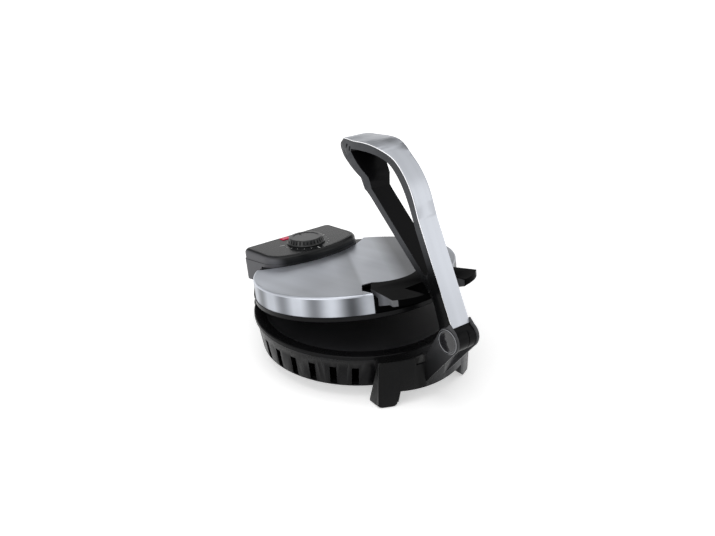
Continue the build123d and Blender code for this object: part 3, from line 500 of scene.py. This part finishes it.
@dataclass(frozen=True)
class Skin(Finish):
    """A moulded, cast, drawn or coated surface with a fine grain."""

    rough: float = 0.4
    spread: float = 0.1
    scale: float = 1400.0
    bump: float = 0.12
    cloud: float = 0.15
    metal: float = 0.0
    specular: float = 0.5
    coat: float = 0.0
    coat_rough: float = 0.06
    glow: float = 0.0
    change: Fade | PaintedSideLight | None = None

    def fill(self, shader: Node, nodes: Nodes) -> None:
        """Sets the shader's values and adds the grain and the clouds.

        Args:
            shader: the material's Principled BSDF.
            nodes: helper for the material's tree.
        """
        nodes.feed(self.metal, shader.inputs["Metallic"])
        nodes.feed(self.specular, shader.inputs["Specular IOR Level"])
        nodes.feed(self.coat, shader.inputs["Coat Weight"])
        nodes.feed(self.coat_rough, shader.inputs["Coat Roughness"])
        nodes.feed(self.colour, shader.inputs["Emission Color"])
        nodes.feed(self.glow, shader.inputs["Emission Strength"])
        skin = nodes.shared(skin_group, Scale=self.scale, Rough=self.rough, Spread=self.spread)
        tint = nodes.clouded(skin.outputs["Cloud"], self.colour, self.cloud)
        if self.change:
            tint = self.change.over(nodes, tint)
        nodes.surface(shader, tint, skin, self.bump)


@dataclass(frozen=True)
class Brushed(Finish):
    """Brushed metal sheet."""

    rough: float = 0.3
    spread: float = 0.15
    grain: Grain = Grain.ALONG
    streak: float = 0.06
    bump: float = 0.05
    anisotropy: float = 0.0

    def fill(self, shader: Node, nodes: Nodes) -> None:
        """Sets the shader's values and adds the scratches.

        Args:
            shader: the material's Principled BSDF.
            nodes: helper for the material's tree.
        """
        vector = nodes.mapped(nodes.place(), Scale=self.grain.value)
        self.brush(shader, nodes, vector)

    def brush(self, shader: Node, nodes: Nodes, vector: Socket, tone: Socket | None = None) -> None:
        """Sets a bare metal's values and adds the scratches.

        Args:
            shader: the material's Principled BSDF.
            nodes: helper for the material's tree.
            vector: coordinates stretched along the scratches.
            tone: the socket of a tone that multiplies the colour, such as the lid's painted reflections, if
                there is one.
        """
        nodes.feed(1.0, shader.inputs["Metallic"])
        nodes.feed(self.anisotropy, shader.inputs["Anisotropic"])
        lines = nodes.shared(brushing_group, Rough=self.rough, Spread=self.spread, Vector=vector)
        tint = nodes.clouded(lines.outputs["Streak"], self.colour, self.streak)
        if tone:
            tint = nodes.mix(tint, tone, blend="MULTIPLY")
        nodes.surface(shader, tint, lines, self.bump)


@dataclass(frozen=True)
class LidSheet(Brushed):
    """Brushed lid sheet with a painted reflection across its top and painted reflection bands round its
    skirt.

    Each reflection tone is a place across the painted reflection, from 0 at the left to 1 at the right, its
    tone at the front of the lid and its tone at the back. Each band tone is a height of the waves and its
    tone.
    """

    rough: float = 0.38
    spread: float = 0.05
    grain: Grain = Grain.DEEP
    streak: float = 0.04
    bump: float = 0.015
    anisotropy: float = 0.3
    reflection_turn: float = 31.2
    reflection_scale: float = 4.4
    reflection_middle: float = 0.5
    reflection_tones: tuple[tuple[float, float, float], ...] = (
        (0.0, 1.0, 1.27),
        (0.23, 1.0, 1.38),
        (0.40, 0.98, 1.36),
        (0.485, 0.74, 0.84),
        (0.505, 1.08, 1.18),
        (0.64, 0.92, 0.96),
        (0.72, 0.24, 0.26),
        (0.80, 0.24, 0.28),
        (1.0, 0.9, 0.9),
    )
    reflection_level: float = 0.64
    reflection_front: float = -32 * MM
    reflection_back: float = 27 * MM
    band_middle: float = 0.5
    band_count: float = 18.0
    band_turn: float = -math.pi / 2
    band_swing: float = 0.31
    slow_count: float = 2.0
    slow_turn: float = -1.4
    slow_swing: float = 0.26
    band_tones: tuple[tuple[float, float], ...] = ((0.05, 0.0), (0.95, 0.69))

    def fill(self, shader: Node, nodes: Nodes) -> None:
        """Sets the shader's values and adds the painted reflections on the top and the skirt, and the
        scratches.

        Args:
            shader: the material's Principled BSDF.
            nodes: helper for the material's tree.
        """
        level, centre = lid_frame()
        closed = nodes.mapped(nodes.place(), Rotation=level.to_euler(), Location=-(level @ centre))
        axes = nodes.add("ShaderNodeSeparateXYZ")
        nodes.feed(closed, axes.inputs[0])
        across, deep, high = axes.outputs
        # painted reflections: bands round the skirt, and bright and dark bands across the top
        skirt = self.skirt_painted_reflection(nodes, across, deep)
        top = self.top_painted_reflection(nodes, across, deep)
        tone = nodes.mix(skirt, top, nodes.math("GREATER_THAN", high, 0.0))
        turn = (0.0, 0.0, math.radians(self.reflection_turn))
        vector = nodes.mapped(closed, Rotation=turn, Scale=self.grain.value)
        self.brush(shader, nodes, vector, tone)

    def top_painted_reflection(self, nodes: Nodes, across: Socket, deep: Socket) -> Socket:
        """Painted reflection on the top sheet, from the distance across its bright and dark bands.

        Args:
            nodes: helper for the material's tree.
            across: distance to the right of the lid's middle.
            deep: distance behind the lid's middle.

        Returns:
            The socket of the tone.
        """
        turn = math.radians(self.reflection_turn)
        side = nodes.math("MULTIPLY", across, math.cos(turn))
        side = nodes.math("SUBTRACT", side, nodes.math("MULTIPLY", deep, math.sin(turn)))
        share = nodes.line(side, self.reflection_scale, self.reflection_middle)
        front, back = (
            nodes.greys(share, [(stop[0], stop[column] * self.reflection_level) for stop in self.reflection_tones])
            for column in (1, 2)
        )
        return nodes.mix(front, back, nodes.share(deep, self.reflection_front, self.reflection_back, curve="LINEAR"))

    def skirt_painted_reflection(self, nodes: Nodes, across: Socket, deep: Socket) -> Socket:
        """Painted reflection on the skirt, in waves with the angle round the lid.

        Args:
            nodes: helper for the material's tree.
            across: distance to the right of the lid's middle.
            deep: distance behind the lid's middle.

        Returns:
            The socket of the tone.
        """
        angle = nodes.math("ARCTAN2", across, deep)
        wave = nodes.math("SINE", nodes.line(angle, self.band_count, self.band_turn))
        slow = nodes.math("SINE", nodes.line(angle, self.slow_count, self.slow_turn))
        swing = nodes.math("MULTIPLY", wave, self.band_swing)
        swing = nodes.math("ADD", swing, nodes.math("MULTIPLY", slow, self.slow_swing))
        return nodes.greys(nodes.math("ADD", swing, self.band_middle), self.band_tones)


def joint_row(name: str) -> dict:
    """Returns a joint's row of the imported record."""
    return next(joint for joint in frame["record"]["behaviour"]["joints"] if joint["name"] == name)


def lid_frame() -> tuple[Matrix, Vector]:
    """Finds the turn that levels the lid, and the middle of its top sheet's lower face.

    Returns:
        The levelling rotation and the point of the model that becomes the middle.
    """
    level = Matrix.Rotation(math.radians(LID_REST), 3, "X")
    hinge = Vector(joint_row("lid_open")["pos_m"])
    return level, hinge + level.inverted() @ Vector((0.0, -LID_REACH, LID_RISE))


def black(name: str, colour: Colour, rough: float = 0.25, spread: float = 0.06, **values: object) -> Skin:
    """Describes a black plastic, with the even gloss that most of them share.

    Args:
        name: name of the finish.
        colour: its colour.
        rough: its roughness.
        spread: how far the roughness varies.
        values: other fields of the skin.

    Returns:
        The finish.
    """
    return Skin(name, colour, rough=rough, spread=spread, **values)


# painted shade: the lever's side sheen darkens towards the pivot, and its painted edge highlight fades there
# too
PIVOT_PAINTED_SHADE = Fade(PIVOT, near=60 * MM, far=115 * MM, low=0.08)
EDGE_FADE = Fade(PIVOT, near=35 * MM, far=75 * MM, low=0.15)
BRACKET_FADE = Fade((-60 * MM, -105 * MM, 15 * MM), near=40 * MM, far=105 * MM, low=0.07)
# painted light: the box's faces that look sideways get a lighter tone
BOX_PAINTED_SIDE_LIGHT = PaintedSideLight((0.10, 0.10, 0.108))

BODY_BLACK = black("satin black plastic", (0.005, 0.005, 0.0055), rough=0.27, specular=0.09)
HANDLE_BLACK = black("handle black plastic", (0.0018, 0.0018, 0.002), rough=0.3, specular=0.004)
BRACKET_BLACK = black(
    "bracket black plastic", (0.075, 0.076, 0.080), rough=0.27, specular=0.09, change=BRACKET_FADE
)
BOX_BLACK = black("box black plastic", (0.006, 0.0065, 0.007), rough=0.24, specular=0.15, change=BOX_PAINTED_SIDE_LIGHT)
ARM_BLACK = black("lever black plastic", (0.004, 0.004, 0.0045), specular=0.06)
# painted sheen on the lever's side faces
ARM_PAINTED_SHEEN = black("lever side painted sheen", (0.06, 0.062, 0.067), specular=0.12, change=PIVOT_PAINTED_SHADE)
# painted highlight on the lever's rounded edges
ARM_PAINTED_HIGHLIGHT = black("black edge painted highlight", (0.32, 0.325, 0.34), change=EDGE_FADE)
# painted highlight on the rounded rims of the pivot caps
CAP_PAINTED_HIGHLIGHT = black("cap rim painted highlight", (0.20, 0.205, 0.22))
# painted sheen on the side faces of the handle's wings
WING_PAINTED_SHEEN = black("wing side painted sheen", (0.09, 0.092, 0.10))
KNOB_BLACK = black("knob black plastic", (0.014, 0.0145, 0.015), rough=0.28, specular=0.35)
# painted highlight on the rounded edges of the base housing and the bracket
RIM_PAINTED_HIGHLIGHT = black("black rim painted highlight", (0.055, 0.056, 0.06))
GLOSS_BLACK = black(
    "glossy black plastic", (0.018, 0.018, 0.020), rough=0.12, spread=0.04, bump=0.02, specular=0.7
)
# painted highlight on the side faces and rounded edges of the lever's steel cover
COVER_PAINTED_HIGHLIGHT = Skin("lever cover painted highlight", (0.80, 0.80, 0.82), rough=0.25, spread=0.06, metal=1.0)
# the lid steel carries a painted reflection across its top and painted reflection bands round its skirt
LID_STEEL = LidSheet("brushed lid steel", (0.64, 0.67, 0.73))
LEVER_STEEL = Brushed(
    "brushed lever steel", (0.49, 0.51, 0.55), rough=0.34, grain=Grain.ALONG, streak=0.1, anisotropy=0.3
)
PLAIN_STEEL = Skin("plain steel", (0.52, 0.52, 0.54), rough=0.3, metal=1.0, bump=0.03)
HEATER_STEEL = Skin("dull heater sheath", (0.30, 0.29, 0.28), rough=0.5, metal=1.0)
SHIELD_SHEET = Skin("zinc coated sheet", (0.62, 0.63, 0.64), rough=0.42, metal=1.0, scale=300.0)
NONSTICK = Skin("non-stick coating", (0.020, 0.020, 0.022), rough=0.42, scale=900.0, bump=0.2, specular=0.35)
RUBBER = Skin("black rubber", (0.016, 0.016, 0.016), rough=0.75, bump=0.2)
PHENOLIC = Skin("pale phenolic", (0.50, 0.47, 0.40), rough=0.5)
BRASS = Skin("brass", (0.62, 0.45, 0.18), rough=0.35, metal=1.0)
RED_LENS = Skin("red lens", (0.52, 0.008, 0.06), rough=0.2, glow=0.15, specular=0.2, scale=500.0)
GREEN_LENS = Skin("green lens", (0.02, 0.16, 0.05), rough=0.12, coat=0.6, scale=500.0)
LAMP_GLASS = Skin("lamp glass", (0.85, 0.75, 0.65), rough=0.06)
MARKING = Skin("white printing", (0.72, 0.72, 0.72), rough=0.5)
CARD_GREY = Skin("dark card", (0.10, 0.10, 0.10), rough=0.9, specular=0.0)


# ------------------------------------------------------------------ pieces
def dress(node: str, finish: Finish) -> None:
    """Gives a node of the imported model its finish.

    Args:
        node: name of the node.
        finish: its finish.
    """
    mesh = frame["nodes"][node].data
    mesh.materials.clear()
    mesh.materials.append(finish.material())
    LOG.info("dressed %s with %s", node, finish.name)


def settle(name: str, mesh: bmesh.types.BMesh, body: str, slot: str, finish: Finish) -> bpy.types.Object:
    """Turns a finished bmesh into a piece of the object.

    Args:
        name: name of the piece.
        mesh: its shape, in place; it is freed here.
        body: the moving body that carries it.
        slot: the material slot of the record that it belongs to; not used.
        finish: its finish.

    Returns:
        The new object.
    """
    made = bpy.data.meshes.new(name)
    mesh.to_mesh(made)
    mesh.free()
    made.shade_smooth()
    made.set_sharp_from_angle(angle=math.radians(SHARP))
    made.materials.append(finish.material())
    piece = bpy.data.objects.new(name, made)
    bpy.context.collection.objects.link(piece)
    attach(piece, body)
    LOG.info("made %s on %s", name, body)
    return piece


@dataclass
class SoftEdged:
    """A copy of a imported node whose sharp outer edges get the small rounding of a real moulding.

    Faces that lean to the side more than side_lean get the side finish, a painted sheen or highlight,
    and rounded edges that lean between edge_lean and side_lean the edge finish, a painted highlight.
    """

    node: str
    body: str
    slot: str
    finish: Finish
    width: float
    segments: int = 2
    sharpest: float = 55.0
    side: Finish | None = None
    edge: Finish | None = None
    side_lean: float = 0.9
    edge_lean: float = 0.15

    def build(self) -> None:
        """Makes the copy, rounds it and lets it stand for the node."""
        mesh = bmesh.new()
        mesh.from_mesh(frame["nodes"][self.node].data)
        bmesh.ops.remove_doubles(mesh, verts=mesh.verts, dist=MERGE)
        bmesh.ops.dissolve_limit(mesh, angle_limit=math.radians(FLAT), verts=mesh.verts, edges=mesh.edges)
        mesh.normal_update()
        rounded = bmesh.ops.bevel(
            mesh,
            geom=[edge for edge in mesh.edges if self.wanted(edge)],
            offset=self.width,
            offset_type="OFFSET",
            affect="EDGES",
            segments=self.segments,
            profile=0.5,
            material=-1,
            clamp_overlap=True,
        )
        extra = [finish for finish in (self.side, self.edge) if finish]
        if self.side:
            for face in mesh.faces:
                face.material_index = 1 if abs(face.normal.x) > self.side_lean else 0
        if self.edge:
            for face in rounded["faces"]:
                if face.is_valid and self.edge_lean <= abs(face.normal.x) <= self.side_lean:
                    face.material_index = len(extra)
        piece = settle(f"{self.node}_rounded", mesh, self.body, self.slot, self.finish)
        for finish in extra:
            piece.data.materials.append(finish.material())
        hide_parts(self.node)

    def wanted(self, edge: bmesh.types.BMEdge) -> bool:
        """Says whether an edge is a sharp outer one.

        Args:
            edge: an edge of the mesh.

        Returns:
            True if it gets rounded.
        """
        if len(edge.link_faces) != 2 or not edge.is_convex:
            return False
        return math.degrees(edge.calc_face_angle(0.0)) > self.sharpest


class Assembly:
    """A sub-assembly: the nodes it dresses and the pieces it adds to them."""

    finishes: ClassVar[dict[str, Finish]] = {}

    def dress(self) -> None:
        """Gives the sub-assembly's nodes their finishes."""
        for node, finish in self.finishes.items():
            dress(node, finish)

    def pieces(self) -> None:
        """Adds the sub-assembly's own pieces; a plain one has none."""

    def build(self) -> None:
        """Dresses the nodes and adds the pieces."""
        self.dress()
        self.pieces()
        LOG.info("%s is ready", type(self).__name__)


@dataclass
class Base(Assembly):
    """The round base with its bracket, feet, lower plate and heater."""

    finishes: ClassVar[dict[str, Finish]] = {
        "base_housing": BODY_BLACK,
        "base_bottom_cover": BODY_BLACK,
        "front_bracket": BRACKET_BLACK,
        "rear_feet": BODY_BLACK,
        "foot_pads": RUBBER,
        "lower_plate": NONSTICK,
        "lower_heater": HEATER_STEEL,
        "lower_heat_shield": SHIELD_SHEET,
        "lower_plate_screws": PLAIN_STEEL,
        "bottom_screws": PLAIN_STEEL,
        "cord_gland": RUBBER,
        "terminal_block": PHENOLIC,
    }
    rounding: float = 0.4 * MM

    def pieces(self) -> None:
        """Rounds the outer edges of the housing and the bracket, with a painted highlight on the rounded
        edges.
        """
        # painted highlight on all rounded edges
        painted_rim_highlight = {"edge": RIM_PAINTED_HIGHLIGHT, "edge_lean": NO_LEAN, "side_lean": PAST_ANY_LEAN, "width": self.rounding}
        for node in ("base_housing", "front_bracket"):
            SoftEdged(node, "base", "black_plastic", self.finishes[node], **painted_rim_highlight).build()


@dataclass
class LeverPivot(Assembly):
    """The axle of the lever, its washers and its glossy caps."""

    finishes: ClassVar[dict[str, Finish]] = {
        "pivot_axle": PLAIN_STEEL,
        "pivot_caps": GLOSS_BLACK,
        "pivot_washers": PLAIN_STEEL,
    }
    rounding: float = 0.3 * MM
    rim_angle: float = 40.0

    def pieces(self) -> None:
        """Rounds the rims of the caps, with a painted highlight on the rounded rims."""
        # painted highlight on the rounded rims
        rim = {"edge": CAP_PAINTED_HIGHLIGHT, "edge_lean": NO_LEAN, "side_lean": PAST_ANY_LEAN, "sharpest": self.rim_angle}
        SoftEdged("pivot_caps", "lever_axle", "gloss_black", GLOSS_BLACK, width=self.rounding, **rim).build()


@dataclass
class PressLever(Assembly):
    """The looped lever: two black arms, its steel cover and the slots beside the tip."""

    finishes: ClassVar[dict[str, Finish]] = {"lever_screws": PLAIN_STEEL}
    rise: float = 39.5
    arm_round: float = 0.6 * MM
    cover_round: float = 0.38 * MM
    slot_spots: tuple[Point, ...] = ((17.35, 222.0, 26.0), (18.4, 216.7, 29.0))
    slot_size: tuple[float, float] = (4.6 * MM, 1.7 * MM)
    slot_turn: float = 62.0
    slot_deep: float = 0.6 * MM

    def place(self, x: float, along: float, up: float) -> Vector:
        """Finds a point of the model from the lever's own frame.

        Args:
            x: distance to the right, in millimetres.
            along: distance along the lever from the pivot, in millimetres.
            up: distance above the lever's line, in millimetres.

        Returns:
            The point, in metres.
        """
        turn = math.radians(self.rise)
        run = Vector((0.0, math.cos(turn), math.sin(turn)))
        over = Vector((0.0, -math.sin(turn), math.cos(turn)))
        return Vector(PIVOT) + Vector((x * MM, 0.0, 0.0)) + run * along * MM + over * up * MM

    def tip_slots(self) -> None:
        """Inlays two short dark slots in each side of the tip."""
        mesh = bmesh.new()
        turn = Matrix.Rotation(math.radians(self.rise + self.slot_turn), 3, "X")
        for side, along, up in self.slot_spots:
            for way in (1, -1):
                made = bmesh.ops.create_cube(mesh, size=1.0)["verts"]
                bmesh.ops.scale(mesh, vec=(self.slot_deep, *self.slot_size), verts=made)
                bmesh.ops.rotate(mesh, cent=(0, 0, 0), matrix=turn, verts=made)
                bmesh.ops.translate(mesh, vec=self.place(way * side, along, up), verts=made)
        settle("lever_tip_slots", mesh, "lever", "black_plastic", ARM_BLACK)

    def pieces(self) -> None:
        """Rounds the arms and the cover, paints a highlight on their rounded edges and the cover's sides and
        a sheen on the arms' sides, and inlays the slots.
        """
        # painted highlight on the cover's side faces and rounded edges
        bright = {"side": COVER_PAINTED_HIGHLIGHT, "edge": COVER_PAINTED_HIGHLIGHT, "width": self.cover_round}
        SoftEdged("lever_cover", "lever", "stainless", LEVER_STEEL, **bright).build()
        # painted sheen on the arms' side faces and painted highlight on their rounded edges
        glossy = {"side": ARM_PAINTED_SHEEN, "edge": ARM_PAINTED_HIGHLIGHT, "width": self.arm_round}
        for node in ("lever_frame", "lever_inner_arm"):
            SoftEdged(node, "lever", "black_plastic", ARM_BLACK, **glossy).build()
        self.tip_slots()


@dataclass
class LidHinge(Assembly):
    """The hinge pin and its bushings."""

    finishes: ClassVar[dict[str, Finish]] = {"hinge_pin": PLAIN_STEEL, "hinge_bushings": BRASS}


@dataclass
class Lid(Assembly):
    """The lid with its steel cover, black housing, upper plate, heater and screws."""

    finishes: ClassVar[dict[str, Finish]] = {
        "lid_cover": LID_STEEL,
        "lid_housing": BODY_BLACK,
        "upper_plate": NONSTICK,
        "upper_heater": HEATER_STEEL,
        "upper_heat_shield": SHIELD_SHEET,
        "upper_plate_screws": PLAIN_STEEL,
        "lid_screws": PLAIN_STEEL,
    }


@dataclass
class FrontHandle(Assembly):
    """The black shelf at the front of the lid."""

    rounding: float = 0.5 * MM
    side_lean: float = 0.55

    def pieces(self) -> None:
        """Rounds the shelf's edges and paints a sheen on the side faces of its wings."""
        # painted sheen on the wings' side faces
        wings = {"side": WING_PAINTED_SHEEN, "side_lean": self.side_lean, "width": self.rounding}
        SoftEdged("lid_handle", "lid", "black_plastic", HANDLE_BLACK, **wings).build()


@dataclass
class ControlBox(Assembly):
    """The black box at the back of the lid, its lenses and the printed marks round the knob."""

    finishes: ClassVar[dict[str, Finish]] = {
        "control_housing": BOX_BLACK,
        "control_panel": BOX_BLACK,
        "thermostat_body": PHENOLIC,
        "red_lens": RED_LENS,
        "green_lens": GREEN_LENS,
        "indicator_lamps": LAMP_GLASS,
    }
    inner: float = 26.2 * MM
    long_mark: float = 5.4 * MM
    short_mark: float = 1.3 * MM
    wide: float = 0.8 * MM
    narrow: float = 0.5 * MM
    thick: float = 0.14 * MM
    sunk: float = 0.03 * MM
    first: float = 160.0
    sweep: float = 210.0
    count: int = 13
    long_every: int = 6

    def plane(self) -> Matrix:
        """Places a drawing on the panel, centred on the knob.

        Returns:
            The turn and the shift from the drawing's plane to the panel.
        """
        knob = joint_row("knob_turn")
        lean = math.atan2(knob["axis"][1], knob["axis"][2])
        return Matrix.Translation(Vector(knob["pos_m"])) @ Matrix.Rotation(-lean, 4, "X")

    def bar(self, mesh: bmesh.types.BMesh, turn: float, length: float, wide: float) -> None:
        """Adds one radial bar that stands a little out of the panel.

        Args:
            mesh: the bmesh that gets it.
            turn: its direction in degrees.
            length: its length.
            wide: its width.
        """
        made = bmesh.ops.create_cube(mesh, size=1.0)["verts"]
        middle = (self.inner + length / 2, 0.0, self.thick / 2 - self.sunk)
        spin = Matrix.Rotation(math.radians(turn), 3, "Z")
        bmesh.ops.scale(mesh, vec=(length, wide, self.thick), verts=made)
        bmesh.ops.translate(mesh, vec=middle, verts=made)
        bmesh.ops.rotate(mesh, cent=(0, 0, 0), matrix=spin, verts=made)

    def pieces(self) -> None:
        """Prints the marks on the panel."""
        mesh = bmesh.new()
        for place in range(self.count):
            turn = self.first + self.sweep * place / (self.count - 1)
            if place % self.long_every:
                self.bar(mesh, turn, self.short_mark, self.narrow)
            else:
                self.bar(mesh, turn, self.long_mark, self.wide)
        bmesh.ops.transform(mesh, matrix=self.plane(), verts=mesh.verts)
        settle("dial_marks", mesh, "lid", "phenolic", MARKING)


@dataclass
class Knob(Assembly):
    """The ribbed knob and its spindle."""

    finishes: ClassVar[dict[str, Finish]] = {"control_knob": KNOB_BLACK, "thermostat_spindle": PLAIN_STEEL}


# ------------------------------------------------------------------ set
def background_mask(nodes: Nodes) -> Socket:
    """Masks the rays that show the background: from the camera, a gloss or a glass.

    Args:
        nodes: helper for the material's or the world's tree.

    Returns:
        The socket of the mask.
    """
    light = nodes.add("ShaderNodeLightPath")
    seen = nodes.math("MAXIMUM", light.outputs["Is Camera Ray"], light.outputs["Is Glossy Ray"])
    return nodes.math("MAXIMUM", seen, light.outputs["Is Transmission Ray"])


def put(name: str, data: bpy.types.ID, place: Sequence[float], look: Vector) -> bpy.types.Object:
    """Puts a camera or a lamp in the set, turned to look along a line.

    Args:
        name: name of the object.
        data: its camera or lamp data.
        place: where it stands.
        look: the line along which it looks.

    Returns:
        The new object.
    """
    made = bpy.data.objects.new(name, data)
    bpy.context.collection.objects.link(made)
    made.location = place
    made.rotation_mode = "QUATERNION"
    made.rotation_quaternion = look.to_track_quat("-Z", "Y")
    return made


def stage(name: str, mesh: bmesh.types.BMesh, material: bpy.types.Material) -> bpy.types.Object:
    """Turns a finished bmesh into a part of the set.

    Args:
        name: name of the part.
        mesh: its shape; it is freed here.
        material: its material.

    Returns:
        The new object.
    """
    made = bpy.data.meshes.new(name)
    mesh.to_mesh(made)
    mesh.free()
    made.materials.append(material)
    part = bpy.data.objects.new(name, made)
    bpy.context.collection.objects.link(part)
    return part


@dataclass(frozen=True)
class Lamp:
    """A soft rectangular lamp: its place, the height it aims at, its size and its power in watts."""

    name: str
    place: Point
    aim: float
    size: tuple[float, float]
    power: float

    def hang(self) -> None:
        """Hangs the lamp."""
        data = bpy.data.lights.new(self.name, "AREA")
        data.shape = "RECTANGLE"
        data.size, data.size_y = self.size
        data.energy = self.power
        put(self.name, data, self.place, Vector((0.0, 0.0, self.aim)) - Vector(self.place))


@dataclass(frozen=True)
class Card:
    """A dark card that keeps the black pieces black; its azimuth is from the front, in degrees."""

    name: str
    azimuth: float
    width: float
    low: float = 0.95
    high: float = 1.9
    far: float = 2.4

    def stand(self) -> None:
        """Stands the card, seen only in reflections."""
        mesh = bmesh.new()
        bmesh.ops.create_grid(mesh, x_segments=1, y_segments=1, size=0.5)
        upright = Matrix.Rotation(math.radians(90.0), 3, "X")
        turn = Matrix.Rotation(math.radians(self.azimuth), 3, "Z")
        bmesh.ops.scale(mesh, vec=(self.width, self.high - self.low, 1.0), verts=mesh.verts)
        bmesh.ops.rotate(mesh, cent=(0, 0, 0), matrix=upright, verts=mesh.verts)
        bmesh.ops.translate(mesh, vec=(0.0, -self.far, (self.low + self.high) / 2), verts=mesh.verts)
        bmesh.ops.rotate(mesh, cent=(0, 0, 0), matrix=turn, verts=mesh.verts)
        stood = stage(self.name, mesh, CARD_GREY.material())
        stood.visible_camera = False
        stood.visible_shadow = False


@dataclass
class Studio:
    """Floor, world, soft lamps and the camera at the photo's angle."""

    azimuth: float = -38.9
    elevation: float = 26.6
    distance: float = 1.0027
    focal_px: float = 895.5
    target: Point = (0.0, 16.4 * MM, 60 * MM)
    right_px: float = 0.5
    down_px: float = 32.4
    clip: tuple[float, float] = (0.01, 60.0)
    floor_size: float = 14.0
    floor_base: float = 0.88
    floor_rough: float = 0.9
    floor_white: float = 0.84
    floor_grey: float = 0.50
    floor_near: float = 0.18
    floor_far: float = 0.75
    ambient: float = 0.42
    cards: tuple[Card, ...] = (
        Card("back card", 146.0, 1.7),
        Card("back right card", 110.0, 1.5),
        Card("back left card", -176.0, 1.5),
    )
    lamps: tuple[Lamp, ...] = (
        Lamp("overhead softbox", (-0.3, -0.1, 1.6), 0.05, (1.4, 1.4), 9.5),
        Lamp("left softbox", (-1.5, -0.2, 0.55), 0.08, (1.3, 1.1), 8.0),
        Lamp("right strip", (1.1, -1.3, 0.8), 0.12, (0.5, 1.2), 1.6),
    )

    def camera(self) -> None:
        """Places the camera with the photo's perspective and framing."""
        turn, rise = math.radians(self.azimuth), math.radians(self.elevation)
        level = math.cos(rise)
        back = Vector((math.sin(turn) * level, -math.cos(turn) * level, math.sin(rise)))
        data = bpy.data.cameras.new("photo camera")
        data.sensor_width = SENSOR_WIDTH
        data.sensor_fit = "HORIZONTAL"
        data.lens = self.focal_px * SENSOR_WIDTH / PHOTO_WIDTH
        data.shift_x = -self.right_px / PHOTO_WIDTH
        data.shift_y = self.down_px / PHOTO_WIDTH
        data.clip_start, data.clip_end = self.clip
        place = Vector(self.target) + back * self.distance
        bpy.context.scene.camera = put("photo camera", data, place, -back)

    def floor(self) -> None:
        """Lays a plain white floor that keeps the object's shadow."""
        mesh = bmesh.new()
        bmesh.ops.create_grid(mesh, x_segments=1, y_segments=1, size=self.floor_size / 2)
        material, shader, nodes = new_material("white floor")
        nodes.feed([self.floor_base] * 3, shader.inputs["Base Color"])
        nodes.feed(self.floor_rough, shader.inputs["Roughness"])
        nodes.feed(0.0, shader.inputs["Specular IOR Level"])
        nodes.feed(WHITE, shader.inputs["Emission Color"])
        away = nodes.add("ShaderNodeVectorMath", operation="LENGTH")
        nodes.feed(nodes.place(), away.inputs[0])
        ends = (self.floor_near, self.floor_far, self.floor_grey, self.floor_white)
        glow = nodes.math("MULTIPLY", background_mask(nodes), nodes.share(away.outputs["Value"], *ends))
        nodes.feed(glow, shader.inputs["Emission Strength"])
        stage("floor", mesh, material)

    def world(self) -> None:
        """Sets an even white surround, softer on the object than behind it."""
        world = bpy.data.worlds.new("studio")
        world.use_nodes = True
        bpy.context.scene.world = world
        nodes = Nodes(world.node_tree)
        shade = world.node_tree.nodes["Background"]
        nodes.feed(WHITE, shade.inputs["Color"])
        strength = nodes.line(background_mask(nodes), 1.0 - self.ambient, self.ambient)
        nodes.feed(strength, shade.inputs["Strength"])

    def build(self) -> None:
        """Builds the whole set."""
        self.camera()
        self.floor()
        self.world()
        for card in self.cards:
            card.stand()
        for lamp in self.lamps:
            lamp.hang()
        bpy.context.scene.view_settings.view_transform = "Standard"
        LOG.info("the set is ready")


def main() -> None:
    """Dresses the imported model, adds the fine pieces and sets the stage."""
    logging.basicConfig(level=logging.INFO, format="%(name)s %(message)s")
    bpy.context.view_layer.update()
    for unit in (Base, LeverPivot, PressLever, LidHinge, Lid, FrontHandle, ControlBox, Knob):
        unit().build()
    Studio().build()


if __name__ == "__main__":
    main()
